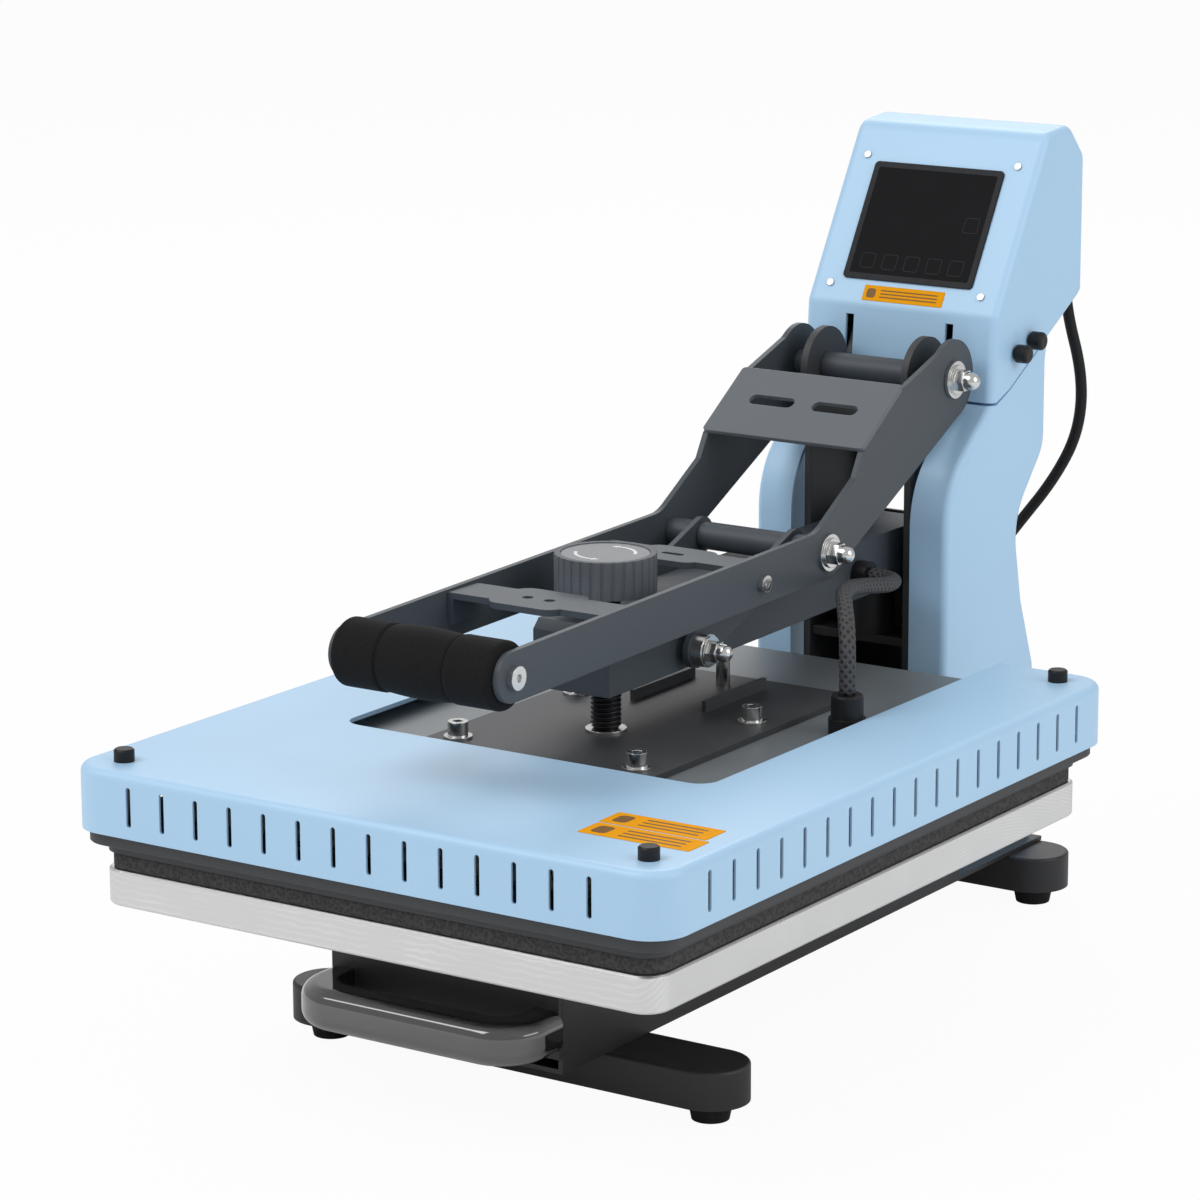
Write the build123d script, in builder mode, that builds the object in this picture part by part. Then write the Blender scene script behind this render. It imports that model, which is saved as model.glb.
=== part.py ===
from build123d import *
import os
from math import asin, atan2, cos, hypot, pi, radians, sin, tan

# Flat heat press: an upper heated platen on a swinging arm, a lower platen on a drawer, and a
# toggle lever. Millimetres, Z up from the bench. X runs to the right, Y runs away from the user.
# Lengths along Y are first given from the middle of the platens (y = 0 there); at() moves them
# into the part's frame, whose origin is the middle of the machine's footprint.

# Driving dimensions of the platens
platen_width = 400.0
platen_length = 500.6
platen_corner = 16.0
lower_thick = 22.4
lower_base = 114.7
pad_thick = 10.3
seat_gap = 0.3
heater_thick = 18.7

# Driving dimensions of the heat cover
cover_width = 427.8
cover_length = 525.8
cover_height = 39.6
cover_corner = 24.0
cover_wall = 1.6
cover_round = 5.0
cover_base = 162.4
mouth_width = 268.0
mouth_front = -94.0
mouth_corner = 13.0
vent_height = 24.4
vent_width = 3.4
vent_pitch = 25.35
vent_front_count = 14
vent_side_count = 18
vent_lift = 7.6
edge_width = 418.0
edge_length = 518.6
edge_height = 8.2

# Driving dimensions of the feet and the base
foot_height = 12.0
foot_top_radius = 14.0
foot_bottom_radius = 11.5
front_foot_x = 141.0
front_foot_y = -100.0
rear_foot_x = 90.0
rear_foot_y = 392.0
beam_radius = 24.0
beam_height = 24.0
beam_round = 2.0
sheet = 3.0
channel_width = 166.0
channel_front = -170.5
channel_height = 70.0
channel_wall_back = 300.0

# Driving dimensions of the drawer
drawer_front_y = -174.0
slide_height = 44.0
slide_depth = 12.5
slide_start = -160.0
slide_length = 440.0
slide_gap = 0.6
grip_height = 26.0
grip_reach = 48.0
grip_width = 172.0
grip_thick = 20.0
grip_base = 50.0

# Driving dimensions of the post and the head
post_half = 41.0
post_plate = 5.0
post_front = 302.0
post_back = 368.0
shell_half = 74.0
shell_inner = 46.0
shell_wall = 2.5
ear_radius = 26.5

# Pivots of the toggle, as (y, z)
lever_pivot = (322.0, 371.9)
link_pivot = (163.0, 284.9)
arm_pin = (48.0, 242.0)
arm_pivot = (345.0, 250.0)
shaft_gap = 0.05

# Driving dimensions of the swing arm
arm_half = 28.0
arm_wall = 4.0
arm_front = -38.0
arm_back = 358.0
arm_heel = 8.0
arm_front_base = 227.6
arm_back_base = 233.0
arm_top = 270.0

# Driving dimensions of the pressure screw and its knob
screw_radius = 9.6
knob_radius = 31.8
knob_base = 284.4
knob_height = 24.0
knob_ribs = 30
lift_travel = 8.0

# Driving dimensions of the lever
lever_half = 61.0
lever_plate = 4.0
lever_lobe = 26.5
link_lobe = 17.5
lever_nose = (-186.0, 277.0)
nose_radius = 15.3
grip_radius = 21.0
link_inner = 33.0
link_plate = 4.0
link_end = 12.0
pivot_shaft_radius = 6.5

# Driving dimensions of the power cord
cord_radius = 4.0
coil_turns = 4
coil_inner = 35.0
coil_pitch = 10.2
layer_gap = 0.9
floor_gap = 0.1

# Heights that follow
pad_base = lower_base + lower_thick
heater_base = pad_base + pad_thick + seat_gap
heater_top = heater_base + heater_thick
cover_top = cover_base + cover_height
edge_base = cover_base - edge_height
plate_top = cover_base + 29.0
bracket_top = plate_top + 4.0
beam_top = foot_height + beam_height
floor_top = beam_top + sheet
head_back = 473.0
shift = -(head_back - cover_length / 2) / 2


def at(y):
    """The part's own Y for a length measured back from the middle of the platens."""
    return y + shift


def outline(points):
    """Points given as (y, z), moved into the frame of a sketch on the YZ plane."""
    return [(at(y), z) for y, z in points]


def corner_near(y, z):
    """The corner of the sketch being drawn on the YZ plane that lies nearest to (y, z)."""
    return vertices().sort_by_distance((at(y), z))[0]


def finish(builder, label):
    """Name a finished piece, write it out and report its volume."""
    builder.part.label = label
    export_step(builder.part, f"parts/{label}.step")
    print(f"{label}: {builder.part.volume / 1000:.1f} cm3")


os.makedirs("parts", exist_ok=True)

# Feet and cross feet
front_feet = [(side * front_foot_x, at(front_foot_y)) for side in (-1, 1)]
rear_feet = [(side * rear_foot_x, at(rear_foot_y)) for side in (-1, 1)]

with BuildPart() as rubber_feet:
    with Locations(*[(x, y, foot_height / 2) for x, y in front_feet + rear_feet]):
        Cone(foot_bottom_radius, foot_top_radius, foot_height)
finish(rubber_feet, "rubber_feet")

with BuildPart() as cross_feet:
    for half_spacing, y in ((front_foot_x, front_foot_y), (rear_foot_x, rear_foot_y)):
        with BuildSketch(Plane.XY.offset(foot_height)):
            with Locations((0, at(y))):
                SlotCenterToCenter(2 * half_spacing, 2 * beam_radius)
        extrude(amount=beam_height)
    fillet(cross_feet.edges().group_by(Axis.Z)[-1], beam_round)
finish(cross_feet, "cross_feet")

# Base channel: a folded tray that joins the cross feet and houses the drawer
channel_back = rear_foot_y + beam_radius
with BuildPart() as base_channel:
    with BuildSketch(Plane.XY.offset(beam_top)):
        with Locations((0, at((channel_front + channel_back) / 2))):
            Rectangle(channel_width, channel_back - channel_front)
    extrude(amount=sheet)
    wall_length = channel_wall_back - channel_front
    with BuildSketch(Plane.XY.offset(floor_top)):
        for side in (-1, 1):
            with Locations((side * (channel_width - sheet) / 2, at(channel_front + wall_length / 2))):
                Rectangle(sheet, wall_length)
    extrude(amount=channel_height - sheet)
finish(base_channel, "base_channel")

# Drawer slides: a fixed C rail on each wall and a moving bar inside it
slide_z = floor_top + channel_height / 2 - 2.0
slide_outer_x = channel_width / 2 - sheet
slide_lip = 1.5
slide_mid = at(slide_start + slide_length / 2)
with BuildPart() as slide_outer_rails:
    for side in (-1, 1):
        with Locations((side * (slide_outer_x - slide_depth / 2), slide_mid, slide_z)):
            Box(slide_depth, slide_length, slide_height)
        with Locations((side * (slide_outer_x - slide_depth / 2 - slide_lip), slide_mid, slide_z)):
            Box(slide_depth, slide_length, slide_height - 2 * slide_lip, mode=Mode.SUBTRACT)
finish(slide_outer_rails, "slide_outer_rails")

bar_height = slide_height - 2 * (slide_lip + slide_gap)
bar_outer = slide_outer_x - slide_lip - slide_gap
flange_outer = slide_outer_x - slide_depth - 1.0
bar_width = bar_outer - flange_outer
with BuildPart() as slide_inner_rails:
    for side in (-1, 1):
        with Locations((side * (bar_outer - bar_width / 2), slide_mid, slide_z)):
            Box(bar_width, slide_length, bar_height)
finish(slide_inner_rails, "slide_inner_rails")

# Drawer: a plate under the lower platen with two flanges down to the slides
carriage_thick = 5.0
carriage_base = lower_base - carriage_thick
flange_bottom = slide_z - bar_height / 2
with BuildPart() as drawer_carriage:
    with BuildSketch(Plane.XY.offset(carriage_base)):
        with Locations((0, slide_mid)):
            Rectangle(2 * flange_outer, slide_length)
    extrude(amount=carriage_thick)
    with BuildSketch(Plane.XY.offset(flange_bottom)):
        for side in (-1, 1):
            with Locations((side * (flange_outer - sheet / 2), slide_mid)):
                Rectangle(sheet, slide_length)
    extrude(amount=carriage_base - flange_bottom)
finish(drawer_carriage, "drawer_carriage")

drawer_face_base = beam_top + 10.0
with BuildPart() as drawer_face:
    with BuildSketch(Plane.XY.offset(drawer_face_base)):
        with Locations((0, at(drawer_front_y + sheet / 2))):
            Rectangle(channel_width, sheet)
    extrude(amount=lower_base - drawer_face_base)
    tab_length = slide_start - drawer_front_y - sheet
    with BuildSketch(Plane.XY.offset(carriage_base - 12.0)):
        with Locations((0, at(slide_start - tab_length / 2))):
            Rectangle(2 * flange_outer - 20.0, tab_length)
    extrude(amount=12.0 + carriage_thick)
finish(drawer_face, "drawer_face")

# Pull handle: a moulded loop with bowed, rounded bars and an open middle
grip_front = drawer_front_y - grip_reach
with BuildPart() as pull_handle:
    with BuildSketch(Plane.XY.offset(grip_base)):
        with BuildLine():
            half = grip_width / 2
            Polyline((-half, at(drawer_front_y)), (-half, at(grip_front)),
                     (half, at(grip_front)), (half, at(drawer_front_y)), close=True)
        make_face()
        fillet(vertices().group_by(Axis.Y)[0], 32.0)
    extrude(amount=grip_height)
    fillet(pull_handle.faces().sort_by(Axis.Z)[-1].edges().filter_by(
        lambda edge: edge.center().Y < at(drawer_front_y) - 0.1), 9.0)
    fillet(pull_handle.faces().sort_by(Axis.Z)[0].edges().filter_by(
        lambda edge: edge.center().Y < at(drawer_front_y) - 0.1), 9.0)
    with BuildSketch(Plane.XY.offset(grip_base)):
        inner = grip_width - 2 * grip_thick
        depth = grip_reach - grip_thick
        with Locations((0, at(drawer_front_y - depth / 2))):
            Rectangle(inner, depth)
        fillet(vertices().group_by(Axis.Y)[0], 16.0)
    extrude(amount=grip_height, mode=Mode.SUBTRACT)
finish(pull_handle, "pull_handle")

# Lower platen and its silicone pad
with BuildPart() as lower_platen:
    with BuildSketch(Plane.XY.offset(lower_base)):
        with Locations((0, at(0))):
            RectangleRounded(platen_width, platen_length, platen_corner)
    extrude(amount=lower_thick)
    chamfer(lower_platen.edges().group_by(Axis.Z)[-1], 1.2)
    chamfer(lower_platen.edges().group_by(Axis.Z)[0], 1.2)
finish(lower_platen, "lower_platen")

pad_inset = 2.0
with BuildPart() as silicone_pad:
    with BuildSketch(Plane.XY.offset(pad_base)):
        with Locations((0, at(0))):
            RectangleRounded(platen_width - 2 * pad_inset, platen_length - 2 * pad_inset, platen_corner)
    extrude(amount=pad_thick)
finish(silicone_pad, "silicone_pad")

# Heating platen with the groove of its element
element_radius = 3.5
element_reach_x = 150.0
element_reach_y = 200.0
element_rows = 3
row_pitch = 2 * element_reach_x / (2 * element_rows - 1)
element_y = (at(-element_reach_y), at(element_reach_y))
element_z = heater_top - element_radius
turn_radius = row_pitch / 2


def element_path():
    """One serpentine of straight rows joined by half turns, as wires at the element's height."""
    with BuildLine() as path:
        for row in range(2 * element_rows):
            x = -element_reach_x + row * row_pitch
            low, high = element_y
            start, end = (low, high) if row % 2 == 0 else (high, low)
            Line((x, start, element_z), (x, end, element_z))
            if row < 2 * element_rows - 1:
                bulge = turn_radius if row % 2 == 0 else -turn_radius
                ThreePointArc((x, end, element_z), (x + turn_radius, end + bulge, element_z),
                              (x + row_pitch, end, element_z))
    return path.line


groove_half = element_radius + 0.3
with BuildPart() as heating_platen:
    with BuildSketch(Plane.XY.offset(heater_base)):
        with Locations((0, at(0))):
            RectangleRounded(platen_width, platen_length, platen_corner)
    extrude(amount=heater_thick)
    with BuildSketch(Plane.XY.offset(heater_top - 2 * groove_half)):
        for row in range(2 * element_rows):
            with Locations((-element_reach_x + row * row_pitch, at(0))):
                Rectangle(2 * groove_half, 2 * element_reach_y + 2)
        for row in range(2 * element_rows - 1):
            side = 1 if row % 2 == 0 else -1
            middle = -element_reach_x + (row + 0.5) * row_pitch
            with BuildSketch(mode=Mode.PRIVATE) as bend:
                Circle(turn_radius + groove_half)
                Circle(turn_radius - groove_half, mode=Mode.SUBTRACT)
                with Locations((0, -side * (turn_radius + groove_half))):
                    Rectangle(4 * turn_radius, 2 * (turn_radius + groove_half), mode=Mode.SUBTRACT)
            with Locations((middle, at(side * element_reach_y))):
                add(bend.sketch)
    extrude(amount=2 * groove_half, mode=Mode.SUBTRACT)
finish(heating_platen, "heating_platen")

with BuildPart() as heating_element:
    route = element_path()
    with BuildSketch(Plane(origin=route @ 0, z_dir=route % 0)):
        Circle(element_radius)
    sweep(path=route)
finish(heating_element, "heating_element")

# Edge frame: the dark flange between the heating platen and the cover
frame_gap = 0.4
with BuildPart() as edge_frame:
    with BuildSketch(Plane.XY.offset(edge_base)):
        with Locations((0, at(0))):
            RectangleRounded(edge_width, edge_length, cover_corner - 4.0)
            RectangleRounded(platen_width + 2 * frame_gap, platen_length + 2 * frame_gap,
                             platen_corner + frame_gap, mode=Mode.SUBTRACT)
    extrude(amount=edge_height)
    chamfer(edge_frame.edges().group_by(Axis.Z)[0], 0.6)
finish(edge_frame, "edge_frame")

# Insulation under a dark cover plate, seen through the mouth of the heat cover
blanket_width = 346.0
blanket_length = 440.0
plate_thick = 3.0
with BuildPart() as insulation_blanket:
    with BuildSketch(Plane.XY.offset(heater_top)):
        with Locations((0, at(0))):
            RectangleRounded(blanket_width, blanket_length, 10.0)
    extrude(amount=plate_top - plate_thick - heater_top)
finish(insulation_blanket, "insulation_blanket")

plate_front = mouth_front - 20.0
plate_back = 246.0
with BuildPart() as cover_plate:
    with BuildSketch(Plane.XY.offset(plate_top - plate_thick)):
        with Locations((0, at((plate_front + plate_back) / 2))):
            RectangleRounded(mouth_width + 40.0, plate_back - plate_front, 6.0)
    extrude(amount=plate_thick)
finish(cover_plate, "cover_plate")

# Heat cover: a folded sheet lid, open towards the post, with vent slots in three sides
vent_middle = cover_base + vent_lift + vent_height / 2
thumb_x = 188.0
thumb_y = 237.7
post_hole = 3.2
with BuildPart() as heat_cover:
    with BuildSketch(Plane.XY.offset(cover_base)):
        with Locations((0, at(0))):
            RectangleRounded(cover_width, cover_length, cover_corner)
    extrude(amount=cover_height)
    fillet(heat_cover.edges().group_by(Axis.Z)[-1], cover_round)
    with BuildSketch(Plane.XY.offset(cover_base)):
        with Locations((0, at(0))):
            RectangleRounded(cover_width - 2 * cover_wall, cover_length - 2 * cover_wall,
                             cover_corner - cover_wall)
    extrude(amount=cover_height - cover_wall - 1.2, mode=Mode.SUBTRACT)
    with BuildSketch(Plane.XY.offset(cover_base)):
        mouth_back = cover_length / 2 + 5.0
        with Locations((0, at((mouth_front + mouth_back) / 2))):
            Rectangle(mouth_width, mouth_back - mouth_front)
        fillet(vertices().group_by(Axis.Y)[0], mouth_corner)
    extrude(amount=cover_height + 1.0, mode=Mode.SUBTRACT)
    with BuildSketch(Plane.XZ.offset(-at(-cover_length / 2 - 5.0))):
        with GridLocations(vent_pitch, 1, vent_front_count, 1):
            with Locations((0, vent_middle)):
                SlotOverall(vent_height, vent_width, rotation=90)
    extrude(amount=-10.0, mode=Mode.SUBTRACT)
    with BuildSketch(Plane.YZ.offset(-cover_width / 2 - 5.0)):
        with Locations((at(0), vent_middle)):
            with GridLocations(vent_pitch, 1, vent_side_count, 1):
                SlotOverall(vent_height, vent_width, rotation=90)
    extrude(amount=cover_width + 10.0, mode=Mode.SUBTRACT)
    with Locations((0, at(0), cover_top)):
        with GridLocations(2 * thumb_x, 2 * thumb_y, 2, 2):
            Hole(post_hole, 10.0)
finish(heat_cover, "heat_cover")

post_radius = 7.0
post_top = cover_top - cover_wall - 1.2
with BuildPart() as cover_posts:
    with BuildSketch(Plane.XY.offset(heater_top)):
        with Locations((0, at(0))):
            with GridLocations(2 * thumb_x, 2 * thumb_y, 2, 2):
                Circle(post_radius)
    extrude(amount=post_top - heater_top)
    with Locations((0, at(0), post_top)):
        with GridLocations(2 * thumb_x, 2 * thumb_y, 2, 2):
            Hole(2.6, 16.0)
finish(cover_posts, "cover_posts")

with BuildPart() as cover_thumb_screws:
    with BuildSketch(Plane.XY.offset(cover_top)):
        with Locations((0, at(0))):
            with GridLocations(2 * thumb_x, 2 * thumb_y, 2, 2):
                Circle(6.3)
    extrude(amount=7.8)
    chamfer(cover_thumb_screws.edges().group_by(Axis.Z)[-1], 1.0)
    with BuildSketch(Plane.XY.offset(cover_top - 14.0)):
        with Locations((0, at(0))):
            with GridLocations(2 * thumb_x, 2 * thumb_y, 2, 2):
                Circle(2.5)
    extrude(amount=14.0)
finish(cover_thumb_screws, "cover_thumb_screws")

# Pressure bracket: a plate with two low ribs, held by four socket screws
bolt_x = 66.0
bolt_y = 65.0
bracket_half_x = 84.0
bracket_front = -88.0
bracket_back = 160.0
rod_y = 135.0
rib_height = 7.0
with BuildPart() as pressure_bracket:
    with BuildSketch(Plane.XY.offset(plate_top)):
        with Locations((0, at((bracket_front + bracket_back) / 2))):
            RectangleRounded(2 * bracket_half_x, bracket_back - bracket_front, 6.0)
    extrude(amount=bracket_top - plate_top)
    with BuildSketch(Plane.XY.offset(bracket_top)):
        for side in (-1, 1):
            with Locations((side * 27.0, at(106.0))):
                Rectangle(3.0, 72.0)
    extrude(amount=rib_height)
finish(pressure_bracket, "pressure_bracket")

# Four socket screws on washers, and the washer under the pressure screw
washer_thick = 1.8
bolt_head = 9.0
bolt_socket = 5.0
with BuildPart() as bracket_fasteners:
    for radius, base, height in ((9.0, 0.0, washer_thick), (6.4, washer_thick, bolt_head)):
        with BuildSketch(Plane.XY.offset(bracket_top + base)):
            with Locations((0, at(0))):
                with GridLocations(2 * bolt_x, 2 * bolt_y, 2, 2):
                    Circle(radius)
        extrude(amount=height)
    with BuildSketch(Plane.XY.offset(bracket_top + washer_thick + bolt_head)):
        with Locations((0, at(0))):
            with GridLocations(2 * bolt_x, 2 * bolt_y, 2, 2):
                RegularPolygon(3.4, 6)
    extrude(amount=-bolt_socket, mode=Mode.SUBTRACT)
    with BuildSketch(Plane.XY.offset(bracket_top)):
        with Locations((0, at(0))):
            Circle(13.0)
    extrude(amount=washer_thick)
finish(bracket_fasteners, "bracket_fasteners")

# Guide rod: keeps the platen square to the arm, and stays under the arm's top when fully raised
rod_radius = 4.5
rod_top = arm_top - arm_wall - lift_travel - 1.0
with BuildPart() as guide_rod:
    with BuildSketch(Plane.XY.offset(bracket_top)):
        with Locations((0, at(rod_y))):
            Circle(rod_radius)
    extrude(amount=rod_top - bracket_top)
    chamfer(guide_rod.edges().group_by(Axis.Z)[-1], 1.0)
finish(guide_rod, "guide_rod")

# Pressure screw and its knob
screw_top = knob_base + 6.0
screw_base = bracket_top + washer_thick + 0.2

thread_pitch = 3.0
thread_count = 8
with BuildPart() as pressure_screw:
    with BuildSketch(Plane.XY.offset(screw_base)):
        with Locations((0, at(0))):
            Circle(screw_radius - 1.0)
    extrude(amount=screw_top - screw_base)
    with Locations(*[(0, at(0), screw_base + 5.0 + ring * thread_pitch) for ring in range(thread_count)]):
        Cylinder(screw_radius, thread_pitch / 2)
finish(pressure_screw, "pressure_screw")

with BuildPart() as pressure_knob:
    with BuildSketch(Plane.XY.offset(knob_base)):
        with Locations((0, at(0))):
            Circle(knob_radius)
            with PolarLocations(knob_radius + 0.6, knob_ribs):
                Circle(1.4, mode=Mode.SUBTRACT)
    extrude(amount=knob_height)
    with BuildSketch(Plane.XY.offset(knob_base + knob_height)):
        with Locations((0, at(0))):
            Circle(knob_radius - 4.0)
    extrude(amount=-1.6, mode=Mode.SUBTRACT)
    with Locations((0, at(0), knob_base)):
        Cylinder(screw_radius - 0.9, 12.2, mode=Mode.SUBTRACT)
finish(pressure_knob, "pressure_knob")

with BuildPart() as knob_disc:
    with BuildSketch(Plane.XY.offset(knob_base + knob_height - 1.6)):
        with Locations((0, at(0))):
            Circle(knob_radius - 4.2)
    extrude(amount=1.0)
finish(knob_disc, "knob_disc")

# Swing arm: a box of welded sheet, open below, with holes for the screw, the rod and its shaft
arm_points = [(arm_front, arm_front_base), (arm_back, arm_back_base), (arm_back, arm_top - arm_heel),
              (arm_back - arm_heel, arm_top), (arm_front + 6.0, arm_top), (arm_front, arm_top - 6.0)]
arm_cavity = [(arm_front + arm_wall, arm_front_base - 2), (arm_back - arm_wall, arm_back_base - 2),
              (arm_back - arm_wall, arm_top - arm_wall - arm_heel),
              (arm_back - arm_wall - arm_heel, arm_top - arm_wall), (arm_front + arm_wall, arm_top - arm_wall)]
screw_hole = screw_radius + 0.6
with BuildPart() as swing_arm:
    with BuildSketch(Plane.YZ.offset(-arm_half)):
        Polygon(*outline(arm_points), align=None)
    extrude(amount=2 * arm_half)
    with BuildSketch(Plane.YZ.offset(-arm_half + arm_wall)):
        Polygon(*outline(arm_cavity), align=None)
    extrude(amount=2 * (arm_half - arm_wall), mode=Mode.SUBTRACT)
    with Locations((0, at(0), arm_top)):
        Hole(screw_hole, 20.0)
    with BuildSketch(Plane.YZ.offset(-arm_half)):
        with Locations((at(arm_pivot[0]), arm_pivot[1])):
            Circle(11.0)
    extrude(amount=2 * arm_half)
    with BuildSketch(Plane.YZ.offset(-arm_half)):
        with Locations((at(arm_pivot[0]), arm_pivot[1])):
            Circle(pivot_shaft_radius + shaft_gap)
    extrude(amount=2 * arm_half, mode=Mode.SUBTRACT)
finish(swing_arm, "swing_arm")

# Nut block of the pressure screw, and the bush of the guide rod, welded inside the arm
block_base = arm_front_base + 3.0
rod_play = 0.4
with BuildPart() as arm_blocks:
    for y, length, hole in ((0.0, 46.0, screw_hole), (rod_y, 30.0, rod_radius + rod_play)):
        with Locations((0, at(y), (block_base + arm_top - arm_wall) / 2)):
            Box(2 * (arm_half - arm_wall), length, arm_top - arm_wall - block_base)
        with Locations((0, at(y), arm_top)):
            Hole(hole, 60.0)
finish(arm_blocks, "arm_blocks")

# Hold-down magnet on the post and its armature under the arm
magnet_y = 318.0
magnet_top = 226.0
armature_thick = 4.0
with BuildPart() as magnet_armature:
    with Locations((0, at(magnet_y), magnet_top + seat_gap + armature_thick / 2 + 0.4)):
        Box(44.0, 28.0, armature_thick)
    with Locations((0, at(magnet_y), (magnet_top + seat_gap + 0.4 + armature_thick + arm_top - arm_wall) / 2)):
        Box(2 * (arm_half - arm_wall), 12.0, arm_top - arm_wall - magnet_top - seat_gap - 0.4 - armature_thick)
finish(magnet_armature, "magnet_armature")

with BuildPart() as hold_magnet:
    with Locations((0, at(magnet_y), magnet_top - 15.0)):
        Cylinder(18.0, 30.0)
    with Locations((0, at(magnet_y), magnet_top - 30.0 - 3.0)):
        Box(2 * (post_half - post_plate), 28.0, 6.0)
finish(hold_magnet, "hold_magnet")

# Post: two steel side plates with ears, and a folded back with a window
post_points = [(post_front, floor_top), (post_back, floor_top), (post_back, 340.0), (406.0, 372.0),
               (406.0, 400.0), (post_back, 400.0), (352.0, lever_pivot[1]), (322.0, lever_pivot[1]),
               (lever_pivot[0] - ear_radius, lever_pivot[1]), (post_front, 330.0)]
with BuildPart() as post_plates:
    for inner_x in (-post_half, post_half - post_plate):
        with BuildSketch(Plane.YZ.offset(inner_x)):
            Polygon(*outline(post_points), align=None)
            with Locations((at(lever_pivot[0]), lever_pivot[1])):
                Circle(ear_radius)
            for pivot in (lever_pivot, arm_pivot):
                with Locations((at(pivot[0]), pivot[1])):
                    Circle(pivot_shaft_radius, mode=Mode.SUBTRACT)
        extrude(amount=post_plate)
finish(post_plates, "post_plates")

back_half = post_half - post_plate
with BuildPart() as post_back_plate:
    with BuildSketch(Plane.XZ.offset(-at(post_back))):
        with Locations((0, (floor_top + 330.0) / 2)):
            Rectangle(2 * back_half, 330.0 - floor_top)
        with Locations((0, 288.0)):
            RectangleRounded(50.0, 40.0, 6.0, mode=Mode.SUBTRACT)
    extrude(amount=sheet)
finish(post_back_plate, "post_back_plate")

# Post covers: two deep folded shells, one on each side, that carry the head's outline downwards
cover_points = [(293.0, floor_top), (293.0, 304.0), (351.5, 350.0), (358.0, 350.0), (376.0, 357.4),
                (427.0, 385.4), (424.0, 370.0), (424.0, 312.0), (384.0, 267.0), (396.0, 209.0),
                (414.0, 161.0), (414.0, floor_top)]
cover_bends = (((293.0, 304.0), 60.0), ((384.0, 267.0), 45.0), ((424.0, 312.0), 24.0))


def post_cover_outline(inset):
    """The cover's side view with its bends rounded, drawn smaller by the inset."""
    with BuildSketch(mode=Mode.PRIVATE) as side_view:
        Polygon(*outline(cover_points), align=None)
        for (y, z), radius in cover_bends:
            fillet(corner_near(y, z), radius)
        if inset:
            offset(amount=-inset, kind=Kind.INTERSECTION)
    return side_view.sketch


for side, label in ((-1, "post_cover_left"), (1, "post_cover_right")):
    with BuildPart() as post_cover:
        with BuildSketch(Plane.YZ.offset(side * shell_inner)):
            add(post_cover_outline(0))
        extrude(amount=side * (shell_half - shell_inner))
        outer_face = post_cover.faces().sort_by(Axis.X)[0 if side < 0 else -1]
        fillet(outer_face.edges().filter_by(lambda edge: edge.center().Y < at(340.0)), 5.0)
        with BuildSketch(Plane.YZ.offset(side * shell_inner)):
            add(post_cover_outline(shell_wall))
        extrude(amount=side * (shell_half - shell_inner - shell_wall), mode=Mode.SUBTRACT)
    finish(post_cover, label)

# Places on the back of the head
panel_thick = 2.0
panel_base = 417.0
panel_top = 504.0
panel_half = shell_half - shell_wall - 3.0
panel_lap = 5.0
panel_face = head_back - shell_wall
switch_x = -30.0
switch_z = 460.0
gland_x = 30.0
gland_z = 436.0

# Head: one shell that leans its face towards the user, open behind for the back panel
crease = (356.0, 409.5)
brow = (424.0, 524.0)
crown = (457.0, 527.0)
head_points = [(351.5, 351.8), crease, brow, crown, (head_back, 510.0), (head_back, 413.0),
               (469.0, 409.6), (427.0, 386.6), (376.0, 358.6), (358.0, 351.8)]
head_bends = ((crease, 10.0), (brow, 14.0), (crown, 12.0))


def head_outline(inset):
    """The head's side view with its bends rounded, drawn smaller by the inset."""
    with BuildSketch(mode=Mode.PRIVATE) as side_view:
        Polygon(*outline(head_points), align=None)
        for (y, z), radius in head_bends:
            fillet(corner_near(y, z), radius)
        if inset:
            offset(amount=-inset, kind=Kind.INTERSECTION)
    return side_view.sketch


ear_slot_gap = 0.5
face_slope = atan2(brow[1] - crease[1], brow[0] - crease[0])
screen_width = 100.0
screen_height = 86.0
screen_along = 60.5
face_plane = Plane(origin=(0, at(crease[0]), crease[1]), x_dir=(1, 0, 0),
                   z_dir=(0, -sin(face_slope), cos(face_slope)))
screw_spread = (116.5, 95.0)
with BuildPart() as head_shell:
    with BuildSketch(Plane.YZ.offset(-shell_half)):
        add(head_outline(0))
    extrude(amount=2 * shell_half)
    fillet(head_shell.edges().filter_by(
        lambda edge: abs(abs(edge.center().X) - shell_half) < 0.01
        and edge.center().Z - 0.9 * (edge.center().Y - at(post_front)) > 325.0), 6.0)
    with BuildSketch(Plane.YZ.offset(-shell_half + shell_wall)):
        add(head_outline(shell_wall))
    extrude(amount=2 * (shell_half - shell_wall), mode=Mode.SUBTRACT)
    with BuildSketch(face_plane):
        with Locations((0, screen_along)):
            RectangleRounded(screen_width - 6.0, screen_height - 6.0, 2.0)
    extrude(amount=-8.0, mode=Mode.SUBTRACT)
    with BuildSketch(face_plane):
        with Locations((0, screen_along)):
            with GridLocations(*screw_spread, 2, 2):
                Circle(1.7)
    extrude(amount=-8.0, mode=Mode.SUBTRACT)
    slot_width = post_plate + 2 * ear_slot_gap
    for side in (-1, 1):
        with Locations((side * (post_half - post_plate / 2), at(379.0), 372.0)):
            Box(slot_width, 60.0, 60.0, mode=Mode.SUBTRACT)
    with BuildSketch(Plane.XZ.offset(-at(panel_face - 1.0))):
        with Locations((0, (panel_base + panel_top) / 2)):
            RectangleRounded(2 * (panel_half - panel_lap), panel_top - panel_base - 2 * panel_lap, 4.0)
    extrude(amount=-shell_wall - 4.0, mode=Mode.SUBTRACT)
finish(head_shell, "head_shell")

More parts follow.
